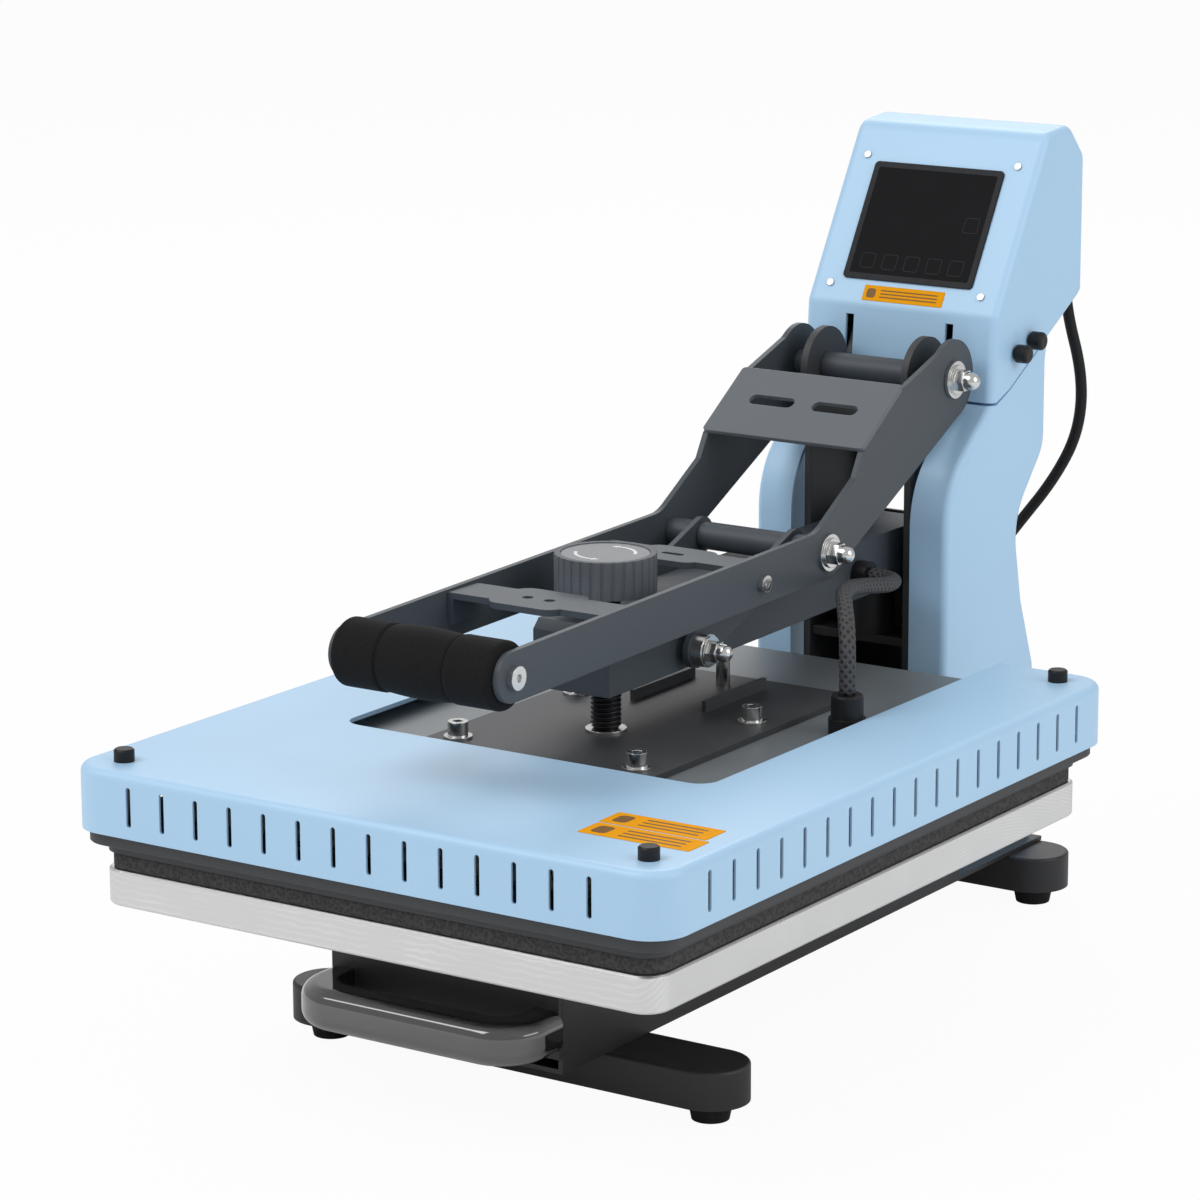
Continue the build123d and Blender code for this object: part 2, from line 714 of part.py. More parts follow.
# Head fittings: the glass panel, its screws, the bracket inside, the back panel and the side knobs
glass_thick = 3.0
with BuildPart() as screen_glass:
    with BuildSketch(face_plane.offset(0.2)):
        with Locations((0, screen_along)):
            RectangleRounded(screen_width, screen_height, 3.0)
    extrude(amount=1.0)
    with BuildSketch(face_plane.offset(0.2)):
        with Locations((0, screen_along)):
            RectangleRounded(screen_width - 7.0, screen_height - 7.0, 2.0)
    extrude(amount=-0.2 - shell_wall)
finish(screen_glass, "screen_glass")

with BuildPart() as face_screws:
    with BuildSketch(face_plane):
        with Locations((0, screen_along)):
            with GridLocations(*screw_spread, 2, 2):
                Circle(2.6)
    extrude(amount=1.2)
    with BuildSketch(face_plane):
        with Locations((0, screen_along)):
            with GridLocations(*screw_spread, 2, 2):
                Circle(1.6)
    extrude(amount=-6.0)
finish(face_screws, "face_screws")

with BuildPart() as head_bracket:
    for side in (-1, 1):
        with Locations((side * (post_half + shell_half - shell_wall) / 2, at(387.0), 392.0)):
            Box(shell_half - shell_wall - post_half, 30.0, 3.0)
        with Locations((side * (shell_half - shell_wall - 1.5), at(386.0), 385.5)):
            Box(3.0, 28.0, 16.0)
        with Locations((side * (post_half + 1.5), at(387.0), 383.5)):
            Box(3.0, 30.0, 14.0)
finish(head_bracket, "head_bracket")

knob_seats = ((383.0, 381.5), (403.0, 387.5))
with BuildPart() as head_knobs:
    for y, z in knob_seats:
        for side in (-1, 1):
            with BuildSketch(Plane.YZ.offset(side * shell_half)):
                with Locations((at(y), z)):
                    Circle(4.0)
            extrude(amount=side * 2.0)
            with BuildSketch(Plane.YZ.offset(side * (shell_half + 2.0))):
                with Locations((at(y), z)):
                    Circle(6.2)
            extrude(amount=side * 9.0)
    fillet(head_knobs.edges().filter_by(GeomType.CIRCLE).filter_by(
        lambda edge: abs(edge.center().X) > shell_half + 10.0), 2.5)
finish(head_knobs, "head_knobs")

with BuildPart() as head_back_panel:
    with BuildSketch(Plane.XZ.offset(-at(panel_face - panel_thick))):
        with Locations((0, (panel_base + panel_top) / 2)):
            RectangleRounded(2 * panel_half, panel_top - panel_base, 4.0)
        with Locations((switch_x, switch_z)):
            Rectangle(28.4, 21.4, mode=Mode.SUBTRACT)
        with Locations((gland_x, gland_z)):
            Circle(6.2, mode=Mode.SUBTRACT)
    extrude(amount=-panel_thick)
finish(head_back_panel, "head_back_panel")

# Electronics inside the head: the controller behind the glass, a relay and a transformer
board_lift = 12.0
board_width = 112.0
board_height = 72.0
shelf_top = 393.5
module_width = 26.0
with BuildPart() as head_electronics:
    with BuildSketch(face_plane.offset(-shell_wall)):
        with Locations((0, screen_along)):
            with GridLocations(board_width - 10.0, board_height - 10.0, 2, 2):
                Circle(3.0)
    extrude(amount=-board_lift)
    with BuildSketch(face_plane.offset(-shell_wall - board_lift)):
        with Locations((0, screen_along)):
            Rectangle(board_width, board_height)
    extrude(amount=-1.6)
    for x, height in ((55.0, 20.0), (-55.0, 26.0)):
        with BuildSketch(Plane.XY.offset(shelf_top)):
            with Locations((x, at(387.0))):
                Rectangle(module_width, module_width)
        extrude(amount=height)
finish(head_electronics, "head_electronics")

# Power switch: a frame clipped in the back panel and a rocker that tips inside it
rocker_tilt = 7.0
rocker_gap = 0.6
rocker_width = 13.0
rocker_tall = 18.0
rocker_deep = 7.0
rocker_y = panel_face - 2.4
with BuildPart() as switch_frame:
    with BuildSketch(Plane.XZ.offset(-at(panel_face))):
        with Locations((switch_x, switch_z)):
            Rectangle(30.0, 25.0)
    extrude(amount=-2.0)
    with BuildSketch(Plane.XZ.offset(-at(panel_face))):
        with Locations((switch_x, switch_z)):
            Rectangle(28.0, 21.0)
    extrude(amount=14.0)
    with BuildSketch(Plane.XZ.offset(-at(panel_face + 3.0))):
        with Locations((switch_x, switch_z)):
            Rectangle(rocker_tall + 2.5, rocker_width + 2 * rocker_gap)
    extrude(amount=14.0, mode=Mode.SUBTRACT)
finish(switch_frame, "switch_frame")

rocker_plane = Plane(origin=(switch_x, at(rocker_y), switch_z), x_dir=(1, 0, 0),
                     z_dir=(0, -1, 0)).rotated((0, 0, rocker_tilt))
with BuildPart() as power_rocker:
    with BuildSketch(rocker_plane.offset(-rocker_deep / 2)):
        Rectangle(rocker_tall, rocker_width)
    extrude(amount=rocker_deep)
finish(power_rocker, "power_rocker")

# Cord gland: a flanged bush with a tapering strain relief
relief_length = 24.0
with BuildPart() as cord_gland:
    with BuildSketch(Plane.XZ.offset(-at(panel_face))):
        with Locations((gland_x, gland_z)):
            Circle(9.0)
    extrude(amount=-2.4)
    with BuildSketch(Plane.XZ.offset(-at(panel_face))):
        with Locations((gland_x, gland_z)):
            Circle(6.2)
    extrude(amount=8.0)
    with BuildSketch(Plane.XZ.offset(-at(panel_face + 2.4))) as relief_foot:
        with Locations((gland_x, gland_z)):
            Circle(6.4)
    with BuildSketch(Plane.XZ.offset(-at(panel_face + relief_length))) as relief_end:
        with Locations((gland_x, gland_z)):
            Circle(cord_radius + 0.9)
    loft([relief_foot.sketch, relief_end.sketch])
finish(cord_gland, "cord_gland")

# Power cord: it drops from the head to the floor and runs back to its coil
coil_middle = (-150.0, 620.0)
coil_outer = coil_inner + coil_turns / 2 * coil_pitch
floor_z = cord_radius + floor_gap
cord_points = [(gland_x, panel_face + relief_length, gland_z), (29.0, 521.0, 436.0), (27.0, 539.0, 418.0),
               (27.5, 541.0, 385.0), (42.0, 541.0, 338.0), (40.0, 540.0, 298.0), (22.0, 538.0, 262.0),
               (-6.0, 536.0, 226.0), (-36.0, 535.0, 186.0), (-62.0, 534.0, 142.0), (-82.0, 533.0, 96.0),
               (-93.0, 535.0, 56.0), (-95.0, 541.0, 31.0), (-95.5, 556.0, 12.0), (-95.5, 580.0, floor_z),
               (coil_middle[0] + coil_outer, coil_middle[1] - 2 * cord_radius, floor_z)]


def cord_stretch(label, points):
    """A plain tube through chosen points, each corner rounded as far as its runs allow."""
    corners = [Vector(x, at(y), z) for x, y, z in points]
    runs = [b - a for a, b in zip(corners, corners[1:])]
    radii = []
    for before, after in zip(runs, runs[1:]):
        half_turn = radians(before.get_angle(after)) / 2
        radii.append(0.45 * min(before.length, after.length) / tan(half_turn))
    with BuildPart() as tube:
        with BuildLine() as route:
            FilletPolyline(*corners, radius=radii)
        with BuildSketch(Plane(origin=corners[0], z_dir=runs[0])):
            Circle(cord_radius)
        sweep(path=route.line)
    length = route.wires()[0].length
    share = tube.part.volume / (pi * cord_radius ** 2 * length)
    print(f"{label}: length {length:.0f}, volume share {share:.4f}, "
          f"least radius {min(radii):.1f}, radii {[round(r) for r in radii]}")
    finish(tube, label)
    return length


cord_length = cord_stretch("power_cord", cord_points)

# Coil: two layers of turns, in along the floor, up one layer and out again
layer_rise = 2 * cord_radius + layer_gap
upper_z = floor_z + layer_rise
half_turns_in = coil_turns
crossings = [coil_outer - turn * coil_pitch / 2 for turn in range(half_turns_in + 1)]
crossings += [coil_inner + turn * coil_pitch / 2 for turn in range(half_turns_in + 1)]
heights = [floor_z] * (half_turns_in + 1) + [upper_z] * (half_turns_in + 1)
middle_x, middle_y = coil_middle[0], at(coil_middle[1])
stops = [(middle_x + (radius if turn % 2 == 0 else -radius), middle_y, z)
         for turn, (radius, z) in enumerate(zip(crossings, heights))]
with BuildPart() as cord_coil:
    with BuildLine() as turns:
        Line((stops[0][0], middle_y - 2 * cord_radius, stops[0][2]), stops[0])
        for turn, (start, end) in enumerate(zip(stops, stops[1:])):
            bulge = (crossings[turn] + crossings[turn + 1]) / 2 * (1 if turn % 2 == 0 else -1)
            top = ((start[0] + end[0]) / 2, middle_y + bulge, (start[2] + end[2]) / 2)
            ThreePointArc(start, top, end)
        Line(stops[-1], (stops[-1][0], middle_y - 2 * cord_radius, stops[-1][2]))
    with BuildSketch(Plane(origin=turns.line @ 0, z_dir=turns.line % 0)):
        Circle(cord_radius)
    sweep(path=turns.line)
coil_wire = turns.wires()[0]
coil_length = coil_wire.length
samples = [coil_wire.position_at(step / 900) for step in range(901)]
spacing = coil_length / 900
apart = int(5 * cord_radius / spacing)
least = min((samples[i] - samples[j]).length for i in range(0, 901, 2) for j in range(i + apart, 901, 2))
print(f"cord_coil: length {coil_length:.0f}, least gap to itself {least - 2 * cord_radius:.2f}")
finish(cord_coil, "cord_coil")

# Tail of the cord and the plug, lying beside the coil
plug_axis = 11.2
tail_x = stops[-1][0]
tail_points = [(tail_x, coil_middle[1] - 2 * cord_radius, upper_z), (tail_x, 592.0, upper_z),
               (tail_x, 572.0, plug_axis), (tail_x, 551.0, plug_axis)]
tail_length = cord_stretch("cord_tail", tail_points)
print(f"whole cord: {cord_length + coil_length + tail_length:.0f}")

plug_back = 551.0
with BuildPart() as power_plug:
    for distance, width, height in ((0.0, 12.0, 12.0), (14.0, 18.0, 16.0)):
        with BuildSketch(Plane.XZ.offset(-at(plug_back - distance))):
            with Locations((tail_x, plug_axis)):
                RectangleRounded(width, height, 3.0)
    loft()
    with BuildSketch(Plane.XZ.offset(-at(plug_back - 14.0))):
        with Locations((tail_x, plug_axis)):
            RectangleRounded(26.0, 22.0, 5.0)
    extrude(amount=20.0)
    with BuildSketch(Plane.XZ.offset(-at(plug_back - 34.0))):
        for x in (-6.4, 6.4):
            with Locations((tail_x + x, plug_axis + 2.0)):
                Rectangle(1.6, 6.3)
        with Locations((tail_x, plug_axis - 5.5)):
            Circle(2.4)
    extrude(amount=17.0)
finish(power_plug, "power_plug")

# Lever: two boomerang plates, a cross plate, two crossbars and the handle
nose_y, nose_z = lever_nose
elbow = (150.0, 299.4)
knee = (206.0, 342.5)
cross_end = (257.3, 376.3)


def tapered_link(first, first_radius, second, second_radius):
    """The four tangent points of a strap whose ends are circles of two radii."""
    span = hypot(second[0] - first[0], second[1] - first[1])
    along = atan2(second[1] - first[1], second[0] - first[0])
    lean = pi / 2 + asin((second_radius - first_radius) / span)
    corners = []
    for centre, radius, turn in ((first, first_radius, lean), (second, second_radius, lean),
                                 (second, second_radius, -lean), (first, first_radius, -lean)):
        corners.append((centre[0] + radius * cos(along + turn), centre[1] + radius * sin(along + turn)))
    return corners


lever_outline = [(nose_y, nose_z + nose_radius), elbow, (197.0, 327.0), knee, cross_end, (308.0, 393.0),
                 lever_pivot, link_pivot, (link_pivot[0], link_pivot[1] - link_lobe),
                 (nose_y, nose_z - nose_radius)]
strap = tapered_link(link_pivot, link_lobe, lever_pivot, lever_lobe)
link_shaft_radius = 6.0
bolt_hole = 4.2
with BuildPart() as lever_plates:
    for inner_x in (-lever_half, lever_half - lever_plate):
        with BuildSketch(Plane.YZ.offset(inner_x)):
            Polygon(*outline(lever_outline), align=None)
            Polygon(*outline(strap), align=None)
            for centre, radius in ((lever_nose, nose_radius), (link_pivot, link_lobe), (lever_pivot, lever_lobe)):
                with Locations((at(centre[0]), centre[1])):
                    Circle(radius)
            fillet(corner_near(*elbow), 30.0)
            for centre, radius in ((lever_nose, bolt_hole), (link_pivot, link_shaft_radius),
                                   (lever_pivot, pivot_shaft_radius + shaft_gap)):
                with Locations((at(centre[0]), centre[1])):
                    Circle(radius, mode=Mode.SUBTRACT)
        extrude(amount=lever_plate)
finish(lever_plates, "lever_plates")

cross_rise = atan2(cross_end[1] - knee[1], cross_end[0] - knee[0])
cross_length = hypot(cross_end[0] - knee[0], cross_end[1] - knee[1])
cross_plane = Plane(origin=(0, at(knee[0]), knee[1]), x_dir=(1, 0, 0), z_dir=(0, -sin(cross_rise), cos(cross_rise)))
with BuildPart() as lever_cross_plate:
    with BuildSketch(cross_plane):
        with Locations((0, cross_length / 2)):
            RectangleRounded(2 * lever_half, cross_length, 3.0)
            with Locations((-24.0, 2.0), (24.0, 2.0)):
                SlotOverall(34.0, 9.0, mode=Mode.SUBTRACT)
    extrude(amount=3.0)
    fillet(lever_cross_plate.faces().sort_by(Axis.Z)[-1].edges().sort_by(Axis.Y)[0], 0.5)
finish(lever_cross_plate, "lever_cross_plate")

crossbar_base = 289.0
crossbar_thick = 4.0
crossbar_half = lever_half - lever_plate
front_bar_y = -72.0
crossbars = ((front_bar_y, 30.0, 44.0), (76.0, 26.0, 36.0))
with BuildPart() as lever_crossbars:
    for y, width, middle_width in crossbars:
        with BuildSketch(Plane.XY.offset(crossbar_base)):
            with Locations((0, at(y))):
                Rectangle(2 * crossbar_half, width)
                RectangleRounded(52.0, middle_width, 10.0)
                if y == front_bar_y:
                    with Locations((-8.0, 0), (8.0, 0)):
                        Circle(3.4, mode=Mode.SUBTRACT)
                else:
                    SlotOverall(16.0, 5.0, mode=Mode.SUBTRACT)
        extrude(amount=crossbar_thick)
        for side in (-1, 1):
            with Locations((side * (crossbar_half - 2.0), at(y), crossbar_base - 8.0)):
                Box(4.0, width, 16.0)
finish(lever_crossbars, "lever_crossbars")

bar_radius = 8.0
with BuildPart() as handle_bar:
    with BuildSketch(Plane.YZ.offset(-crossbar_half)):
        with Locations((at(nose_y), nose_z)):
            Circle(bar_radius)
            Circle(4.0, mode=Mode.SUBTRACT)
    extrude(amount=2 * crossbar_half)
finish(handle_bar, "handle_bar")

grip_half = crossbar_half - 0.4
collar_length = 32.0
with BuildPart() as handle_grip:
    with BuildSketch(Plane.XY.offset(nose_z)) as grip_profile:
        with BuildLine():
            base_y = at(nose_y)
            inner_y = base_y + bar_radius
            edge = grip_half - collar_length
            Line((-grip_half, inner_y), (-grip_half, base_y + grip_radius - 3.0))
            RadiusArc((-grip_half, base_y + grip_radius - 3.0), (-grip_half + 3.0, base_y + grip_radius), 3.0)
            Line((-grip_half + 3.0, base_y + grip_radius), (-edge - 1.0, base_y + grip_radius))
            Line((-edge - 1.0, base_y + grip_radius), (-edge, base_y + grip_radius - 1.6))
            ThreePointArc((-edge, base_y + grip_radius - 1.6), (0, base_y + grip_radius + 0.8),
                          (edge, base_y + grip_radius - 1.6))
            Line((edge, base_y + grip_radius - 1.6), (edge + 1.0, base_y + grip_radius))
            Line((edge + 1.0, base_y + grip_radius), (grip_half - 3.0, base_y + grip_radius))
            RadiusArc((grip_half - 3.0, base_y + grip_radius), (grip_half, base_y + grip_radius - 3.0), 3.0)
            Line((grip_half, base_y + grip_radius - 3.0), (grip_half, inner_y))
            Line((grip_half, inner_y), (-grip_half, inner_y))
        make_face()
    revolve(axis=Axis((0, base_y, nose_z), (1, 0, 0)))
finish(handle_grip, "handle_grip")

with BuildPart() as lever_bolts:
    bolt_places = ((lever_nose, 7.2, 4.2, 12.0), ((84.0, 280.0), 5.4, 4.0, 0.0))
    for (y, z), head_radius, head_height, shank in bolt_places:
        for side in (-1, 1):
            with BuildSketch(Plane.YZ.offset(side * lever_half)):
                with Locations((at(y), z)):
                    Circle(head_radius)
            extrude(amount=side * head_height)
            with BuildSketch(Plane.YZ.offset(side * (lever_half + head_height))):
                with Locations((at(y), z)):
                    RegularPolygon(2.6, 6)
            extrude(amount=-side * 2.4, mode=Mode.SUBTRACT)
            if shank:
                with BuildSketch(Plane.YZ.offset(side * lever_half)):
                    with Locations((at(y), z)):
                        Circle(4.0)
                extrude(amount=-side * shank)
finish(lever_bolts, "lever_bolts")


def pivot_ends(place, start, spacer_radius, spacer, washer_radius, nut_width):
    """Spacer, washer, hexagon nut and domed cap at both ends of a pivot at place, a (y, z)."""
    with BuildPart(mode=Mode.PRIVATE) as ends:
        for side in (-1, 1):
            x = start
            for radius, length in ((spacer_radius, spacer), (washer_radius, 1.6)):
                with BuildSketch(Plane.YZ.offset(side * x)):
                    with Locations(place):
                        Circle(radius)
                extrude(amount=side * length)
                x += length
            with BuildSketch(Plane.YZ.offset(side * x)):
                with Locations(place):
                    RegularPolygon(nut_width, 6)
            extrude(amount=side * 6.0)
            with BuildSketch(Plane.YZ.offset(side * (x + 6.0))):
                with Locations(place):
                    Circle(nut_width * 0.8)
            extrude(amount=side * 3.0)
            with Locations((side * (x + 9.0), place[0], place[1])):
                Sphere(nut_width * 0.8)
    return ends.part


upper_place = (at(lever_pivot[0]), lever_pivot[1])
running_gap = 0.3
with BuildPart() as main_pivot:
    with BuildSketch(Plane.YZ.offset(-lever_half - running_gap)):
        with Locations(upper_place):
            Circle(pivot_shaft_radius)
    extrude(amount=2 * (lever_half + running_gap))
    add(pivot_ends(upper_place, lever_half + running_gap, 12.5, 2.6, 10.0, 7.6))
finish(main_pivot, "main_pivot")

link_place = (at(link_pivot[0]), link_pivot[1])
with BuildPart() as link_shaft:
    with BuildSketch(Plane.YZ.offset(-lever_half)):
        with Locations(link_place):
            Circle(link_shaft_radius)
    extrude(amount=2 * lever_half)
    add(pivot_ends(link_place, lever_half, 12.0, 2.6, 9.6, 7.4))
finish(link_shaft, "link_shaft")

pin_place = (at(arm_pin[0]), arm_pin[1])
pin_radius = 5.0
with BuildPart() as link_pins:
    for side in (-1, 1):
        with BuildSketch(Plane.YZ.offset(side * (arm_half + running_gap))):
            with Locations(pin_place):
                Circle(pin_radius)
        extrude(amount=side * (link_inner + link_plate - arm_half - running_gap))
    add(pivot_ends(pin_place, link_inner + link_plate, 10.5, 8.4, 9.6, 7.0))
finish(link_pins, "link_pins")

with BuildPart() as link_straps:
    for side in (-1, 1):
        with BuildSketch(Plane.YZ.offset(side * link_inner)):
            Polygon(*outline(tapered_link(arm_pin, link_end, link_pivot, link_end)), align=None)
            for centre in (arm_pin, link_pivot):
                with Locations((at(centre[0]), centre[1])):
                    Circle(link_end)
            with Locations(link_place):
                Circle(link_shaft_radius + shaft_gap, mode=Mode.SUBTRACT)
            with Locations(pin_place):
                Circle(pin_radius, mode=Mode.SUBTRACT)
        extrude(amount=side * link_plate)
finish(link_straps, "link_straps")

with BuildPart() as arm_shaft:
    with BuildSketch(Plane.YZ.offset(-post_half - 3.0)):
        with Locations((at(arm_pivot[0]), arm_pivot[1])):
            Circle(pivot_shaft_radius)
    extrude(amount=2 * (post_half + 3.0))
    for side in (-1, 1):
        with BuildSketch(Plane.YZ.offset(side * post_half)):
            with Locations((at(arm_pivot[0]), arm_pivot[1])):
                Circle(9.5)
        extrude(amount=side * 2.4)
finish(arm_shaft, "arm_shaft")

# Heater hose: from a gland on the cover plate over to a gland on the side of the arm
hose_radius = 5.2
hose_x, hose_y = 121.0, 88.0
gland_height = 25.0
with BuildPart() as hose_gland:
    for radius, base, height in ((11.8, 0.0, 10.0), (10.2, 10.0, gland_height - 10.0)):
        with BuildSketch(Plane.XY.offset(plate_top + base)):
            with Locations((hose_x, at(hose_y))):
                Circle(radius)
        extrude(amount=height)
    fillet(hose_gland.edges().group_by(Axis.Z)[-1], 1.5)
finish(hose_gland, "hose_gland")

arm_gland_y, arm_gland_z = 256.0, 249.0
arm_gland_reach = 10.0
with BuildPart() as arm_gland:
    with BuildSketch(Plane.YZ.offset(arm_half)):
        with Locations((at(arm_gland_y), arm_gland_z)):
            Circle(9.0)
    extrude(amount=arm_gland_reach)
finish(arm_gland, "arm_gland")

hose_points = [(hose_x, hose_y, plate_top + gland_height), (hose_x, hose_y, 238.0), (115.0, 97.0, 255.0),
               (102.0, 116.0, 264.0), (86.0, 140.0, 266.0), (75.0, 168.0, 263.0), (70.0, 200.0, 257.0),
               (67.0, 231.0, 251.0), (58.0, arm_gland_y, arm_gland_z),
               (arm_half + arm_gland_reach, arm_gland_y, arm_gland_z)]
hose_corners = [Vector(x, at(y), z) for x, y, z in hose_points]
hose_runs = [b - a for a, b in zip(hose_corners, hose_corners[1:])]
hose_radii = [0.45 * min(a.length, b.length) / tan(radians(a.get_angle(b)) / 2)
              for a, b in zip(hose_runs, hose_runs[1:])]
with BuildPart() as heater_hose:
    with BuildLine() as hose_route:
        FilletPolyline(*hose_corners, radius=hose_radii)
    with BuildSketch(Plane(origin=hose_corners[0], z_dir=hose_runs[0])):
        Circle(hose_radius)
    sweep(path=hose_route.line)
print(f"heater_hose: length {hose_route.wires()[0].length:.0f}, radii {[round(r) for r in hose_radii]}")
finish(heater_hose, "heater_hose")
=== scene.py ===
# %% [markdown]
# A flat heat press for crafts: a hot plate on a swinging arm comes down on a plate with a foam pad
# that rides in a drawer. Its sheet metal, plates and fasteners are carried over from the packed
# model. This file gives them their finishes, and adds what is soft, fine or printed: the foam
# grip, the pad, the thread, the braided hose, the power cord, the plain stickers and the keys.

# %% Load the fixed frame
from math import atan2, cos, pi, radians, sin

import bpy
import numpy as np
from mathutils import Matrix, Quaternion, Vector


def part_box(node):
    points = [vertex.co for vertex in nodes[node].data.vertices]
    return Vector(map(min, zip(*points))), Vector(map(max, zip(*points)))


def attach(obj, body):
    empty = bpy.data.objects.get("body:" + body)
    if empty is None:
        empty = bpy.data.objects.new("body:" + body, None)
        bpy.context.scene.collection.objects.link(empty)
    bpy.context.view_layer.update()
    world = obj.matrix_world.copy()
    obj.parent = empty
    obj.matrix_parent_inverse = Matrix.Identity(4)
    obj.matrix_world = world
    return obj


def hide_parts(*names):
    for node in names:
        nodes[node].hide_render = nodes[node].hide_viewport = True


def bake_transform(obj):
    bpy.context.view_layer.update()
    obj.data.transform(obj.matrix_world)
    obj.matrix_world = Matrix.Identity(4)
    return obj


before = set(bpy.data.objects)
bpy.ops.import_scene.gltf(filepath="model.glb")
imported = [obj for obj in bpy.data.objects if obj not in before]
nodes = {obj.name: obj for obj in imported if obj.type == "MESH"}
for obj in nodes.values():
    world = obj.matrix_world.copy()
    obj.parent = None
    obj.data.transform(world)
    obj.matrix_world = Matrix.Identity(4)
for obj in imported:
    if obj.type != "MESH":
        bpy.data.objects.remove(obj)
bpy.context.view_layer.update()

# %% [markdown]
# The lengths of the press are known in millimetres, and places along it are measured back from the
# middle of the platens. The frame is in metres and starts at the middle of the whole machine. One
# helper turns a place of the first kind into one of the second, so no later cell does it by hand.

# %% Units and places
MM = 0.001
cover_length = 525.8
head_back = 473.0
shift = -(head_back - cover_length / 2) / 2


def place(x, y, z):
    """A point in metres: x and z only change their unit, and y is moved by the shift as well."""
    return (x * MM, (y + shift) * MM, z * MM)


def low(node):
    """The lowest corner of a node at rest."""
    return np.array(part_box(node)[0])


def high(node):
    """The highest corner of a node at rest."""
    return np.array(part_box(node)[1])


print("the middle of the platens lies at y =", round(place(0, 0, 0)[1], 4))

# %% [markdown]
# The camera stands to the right of the press and looks down on it by about thirteen degrees. A long
# lens from far away keeps the upright edges nearly parallel, as they are in a product picture.
# The camera is turned by giving it the direction that it looks back along, and then a small roll.

# %% Camera
camera_data = bpy.data.cameras.new("camera")
camera = bpy.data.objects.new("camera", camera_data)
bpy.context.collection.objects.link(camera)
camera_data.lens = 135.33
camera_data.sensor_width = 36.0
camera_data.clip_end = 30.0
camera.location = (1.50544, -2.34648, 0.91587)
camera_azimuth, camera_drop, camera_roll = radians(33.96), radians(13.29), radians(-0.21)
camera.rotation_mode = "QUATERNION"
back = Vector((sin(camera_azimuth) * cos(camera_drop), -cos(camera_azimuth) * cos(camera_drop),
               sin(camera_drop)))
camera.rotation_quaternion = back.to_track_quat("Z", "Y") @ Quaternion((0, 0, 1), camera_roll)
bpy.context.scene.camera = camera
print("camera looks from", [round(v, 3) for v in camera.location])

# %% [markdown]
# The power cord leaves a gland on the back of the head, drops behind the press to the bench and
# runs to a neat coil, with its plug beside it. A cord bends smoothly everywhere, so it is one
# spline, and its control points lie a little outside the curve. The free run is a short list of
# given points, because a hanging cord follows no simple formula.

# %% Route of the power cord
cord_radius = 4.0
floor_gap = 0.1
floor_z = cord_radius + floor_gap
coil_middle = (-150.0, 620.0)
coil_turns = 4
coil_inner = 35.0
coil_pitch = 10.2
coil_outer = coil_inner + coil_turns / 2 * coil_pitch
coil_entry = coil_middle[1] - 2 * cord_radius
panel_back = 470.5
gland_length = 24.0
gland_mouth = (30.0, panel_back + gland_length, 436.0)
cord_points = [gland_mouth, (29.0, 521.0, 436.0), (27.0, 539.0, 418.0), (27.5, 541.0, 385.0),
               (42.0, 541.0, 338.0), (40.0, 540.0, 298.0), (22.0, 538.0, 262.0), (-6.0, 536.0, 226.0),
               (-36.0, 535.0, 186.0), (-62.0, 534.0, 142.0), (-82.0, 533.0, 96.0), (-93.0, 535.0, 56.0),
               (-95.0, 541.0, 31.0), (-95.5, 556.0, 12.0), (-95.5, 580.0, floor_z),
               (coil_middle[0] + coil_outer, coil_entry, floor_z)]
print("points on the free run:", len(cord_points))

# %% [markdown]
# The coil could be drawn as closed rings, but a real one is a single length of cord. Each half turn
# here is a half circle that is drawn in a little, its ends a whole pitch apart every full turn. In
# two layers it spirals in along the bench, climbs one layer and spirals out again.

# %% Turns of the coil
layer_gap = 0.9
layer_rise = 2 * cord_radius + layer_gap


def coil_points(points_per_half=6):
    """Half circles about the coil's middle: in along the bench, up one layer, and out again.

    Each half turn is centred between its two ends. The control points stand outside the circle
    by one over the cosine of half their spacing, which is the share that a smooth spline cuts off.
    """
    inward = [coil_outer - turn * coil_pitch / 2 for turn in range(coil_turns + 1)]
    outward = [coil_inner + turn * coil_pitch / 2 for turn in range(coil_turns + 1)]
    crossing = inward + outward
    heights = [floor_z] * (coil_turns + 1) + [floor_z + layer_rise] * (coil_turns + 1)
    outset = 1 / cos(pi / points_per_half / 2)
    points = []
    for turn in range(len(crossing) - 1):
        side = 1 if turn % 2 == 0 else -1
        middle_x = coil_middle[0] + side * (crossing[turn] - crossing[turn + 1]) / 2
        radius = (crossing[turn] + crossing[turn + 1]) / 2 * outset
        for step in range(points_per_half):
            share = (step + 0.5) / points_per_half
            angle = pi * (turn + share)
            points.append((middle_x + radius * cos(angle), coil_middle[1] + radius * sin(angle),
                           heights[turn] + share * (heights[turn + 1] - heights[turn])))
    tail = coil_middle[0] - crossing[-1]
    return points, tail, heights[-1]


turns, tail_x, top_z = coil_points()
print("points in the coil:", len(turns))

# %% [markdown]
# A curve object with a round bevel makes the cord's surface. Blender adds each point's radius to
# the curve's bounds, so the points carry the cord's real radius and the bevel is a whole metre
# that they scale down. A curve with no bevel gives its line back as a mesh of plain points.


# %% Smooth curves
def spline_curve(name, points, radius):
    """A smooth open curve with the given control points: each stretch is a parabola between them."""
    data = bpy.data.curves.new(name, "CURVE")
    data.dimensions = "3D"
    data.resolution_u = 10
    data.bevel_depth = 1.0 if radius else 0.0
    data.bevel_resolution = 5
    data.use_fill_caps = True
    spline = data.splines.new("NURBS")
    spline.points.add(len(points) - 1)
    for point, (x, y, z) in zip(spline.points, points):
        point.co = (x, y, z, 1)
        point.radius = radius
    spline.order_u = 3
    spline.use_endpoint_u = True
    curve = bpy.data.objects.new(name, data)
    bpy.context.collection.objects.link(curve)
    return curve


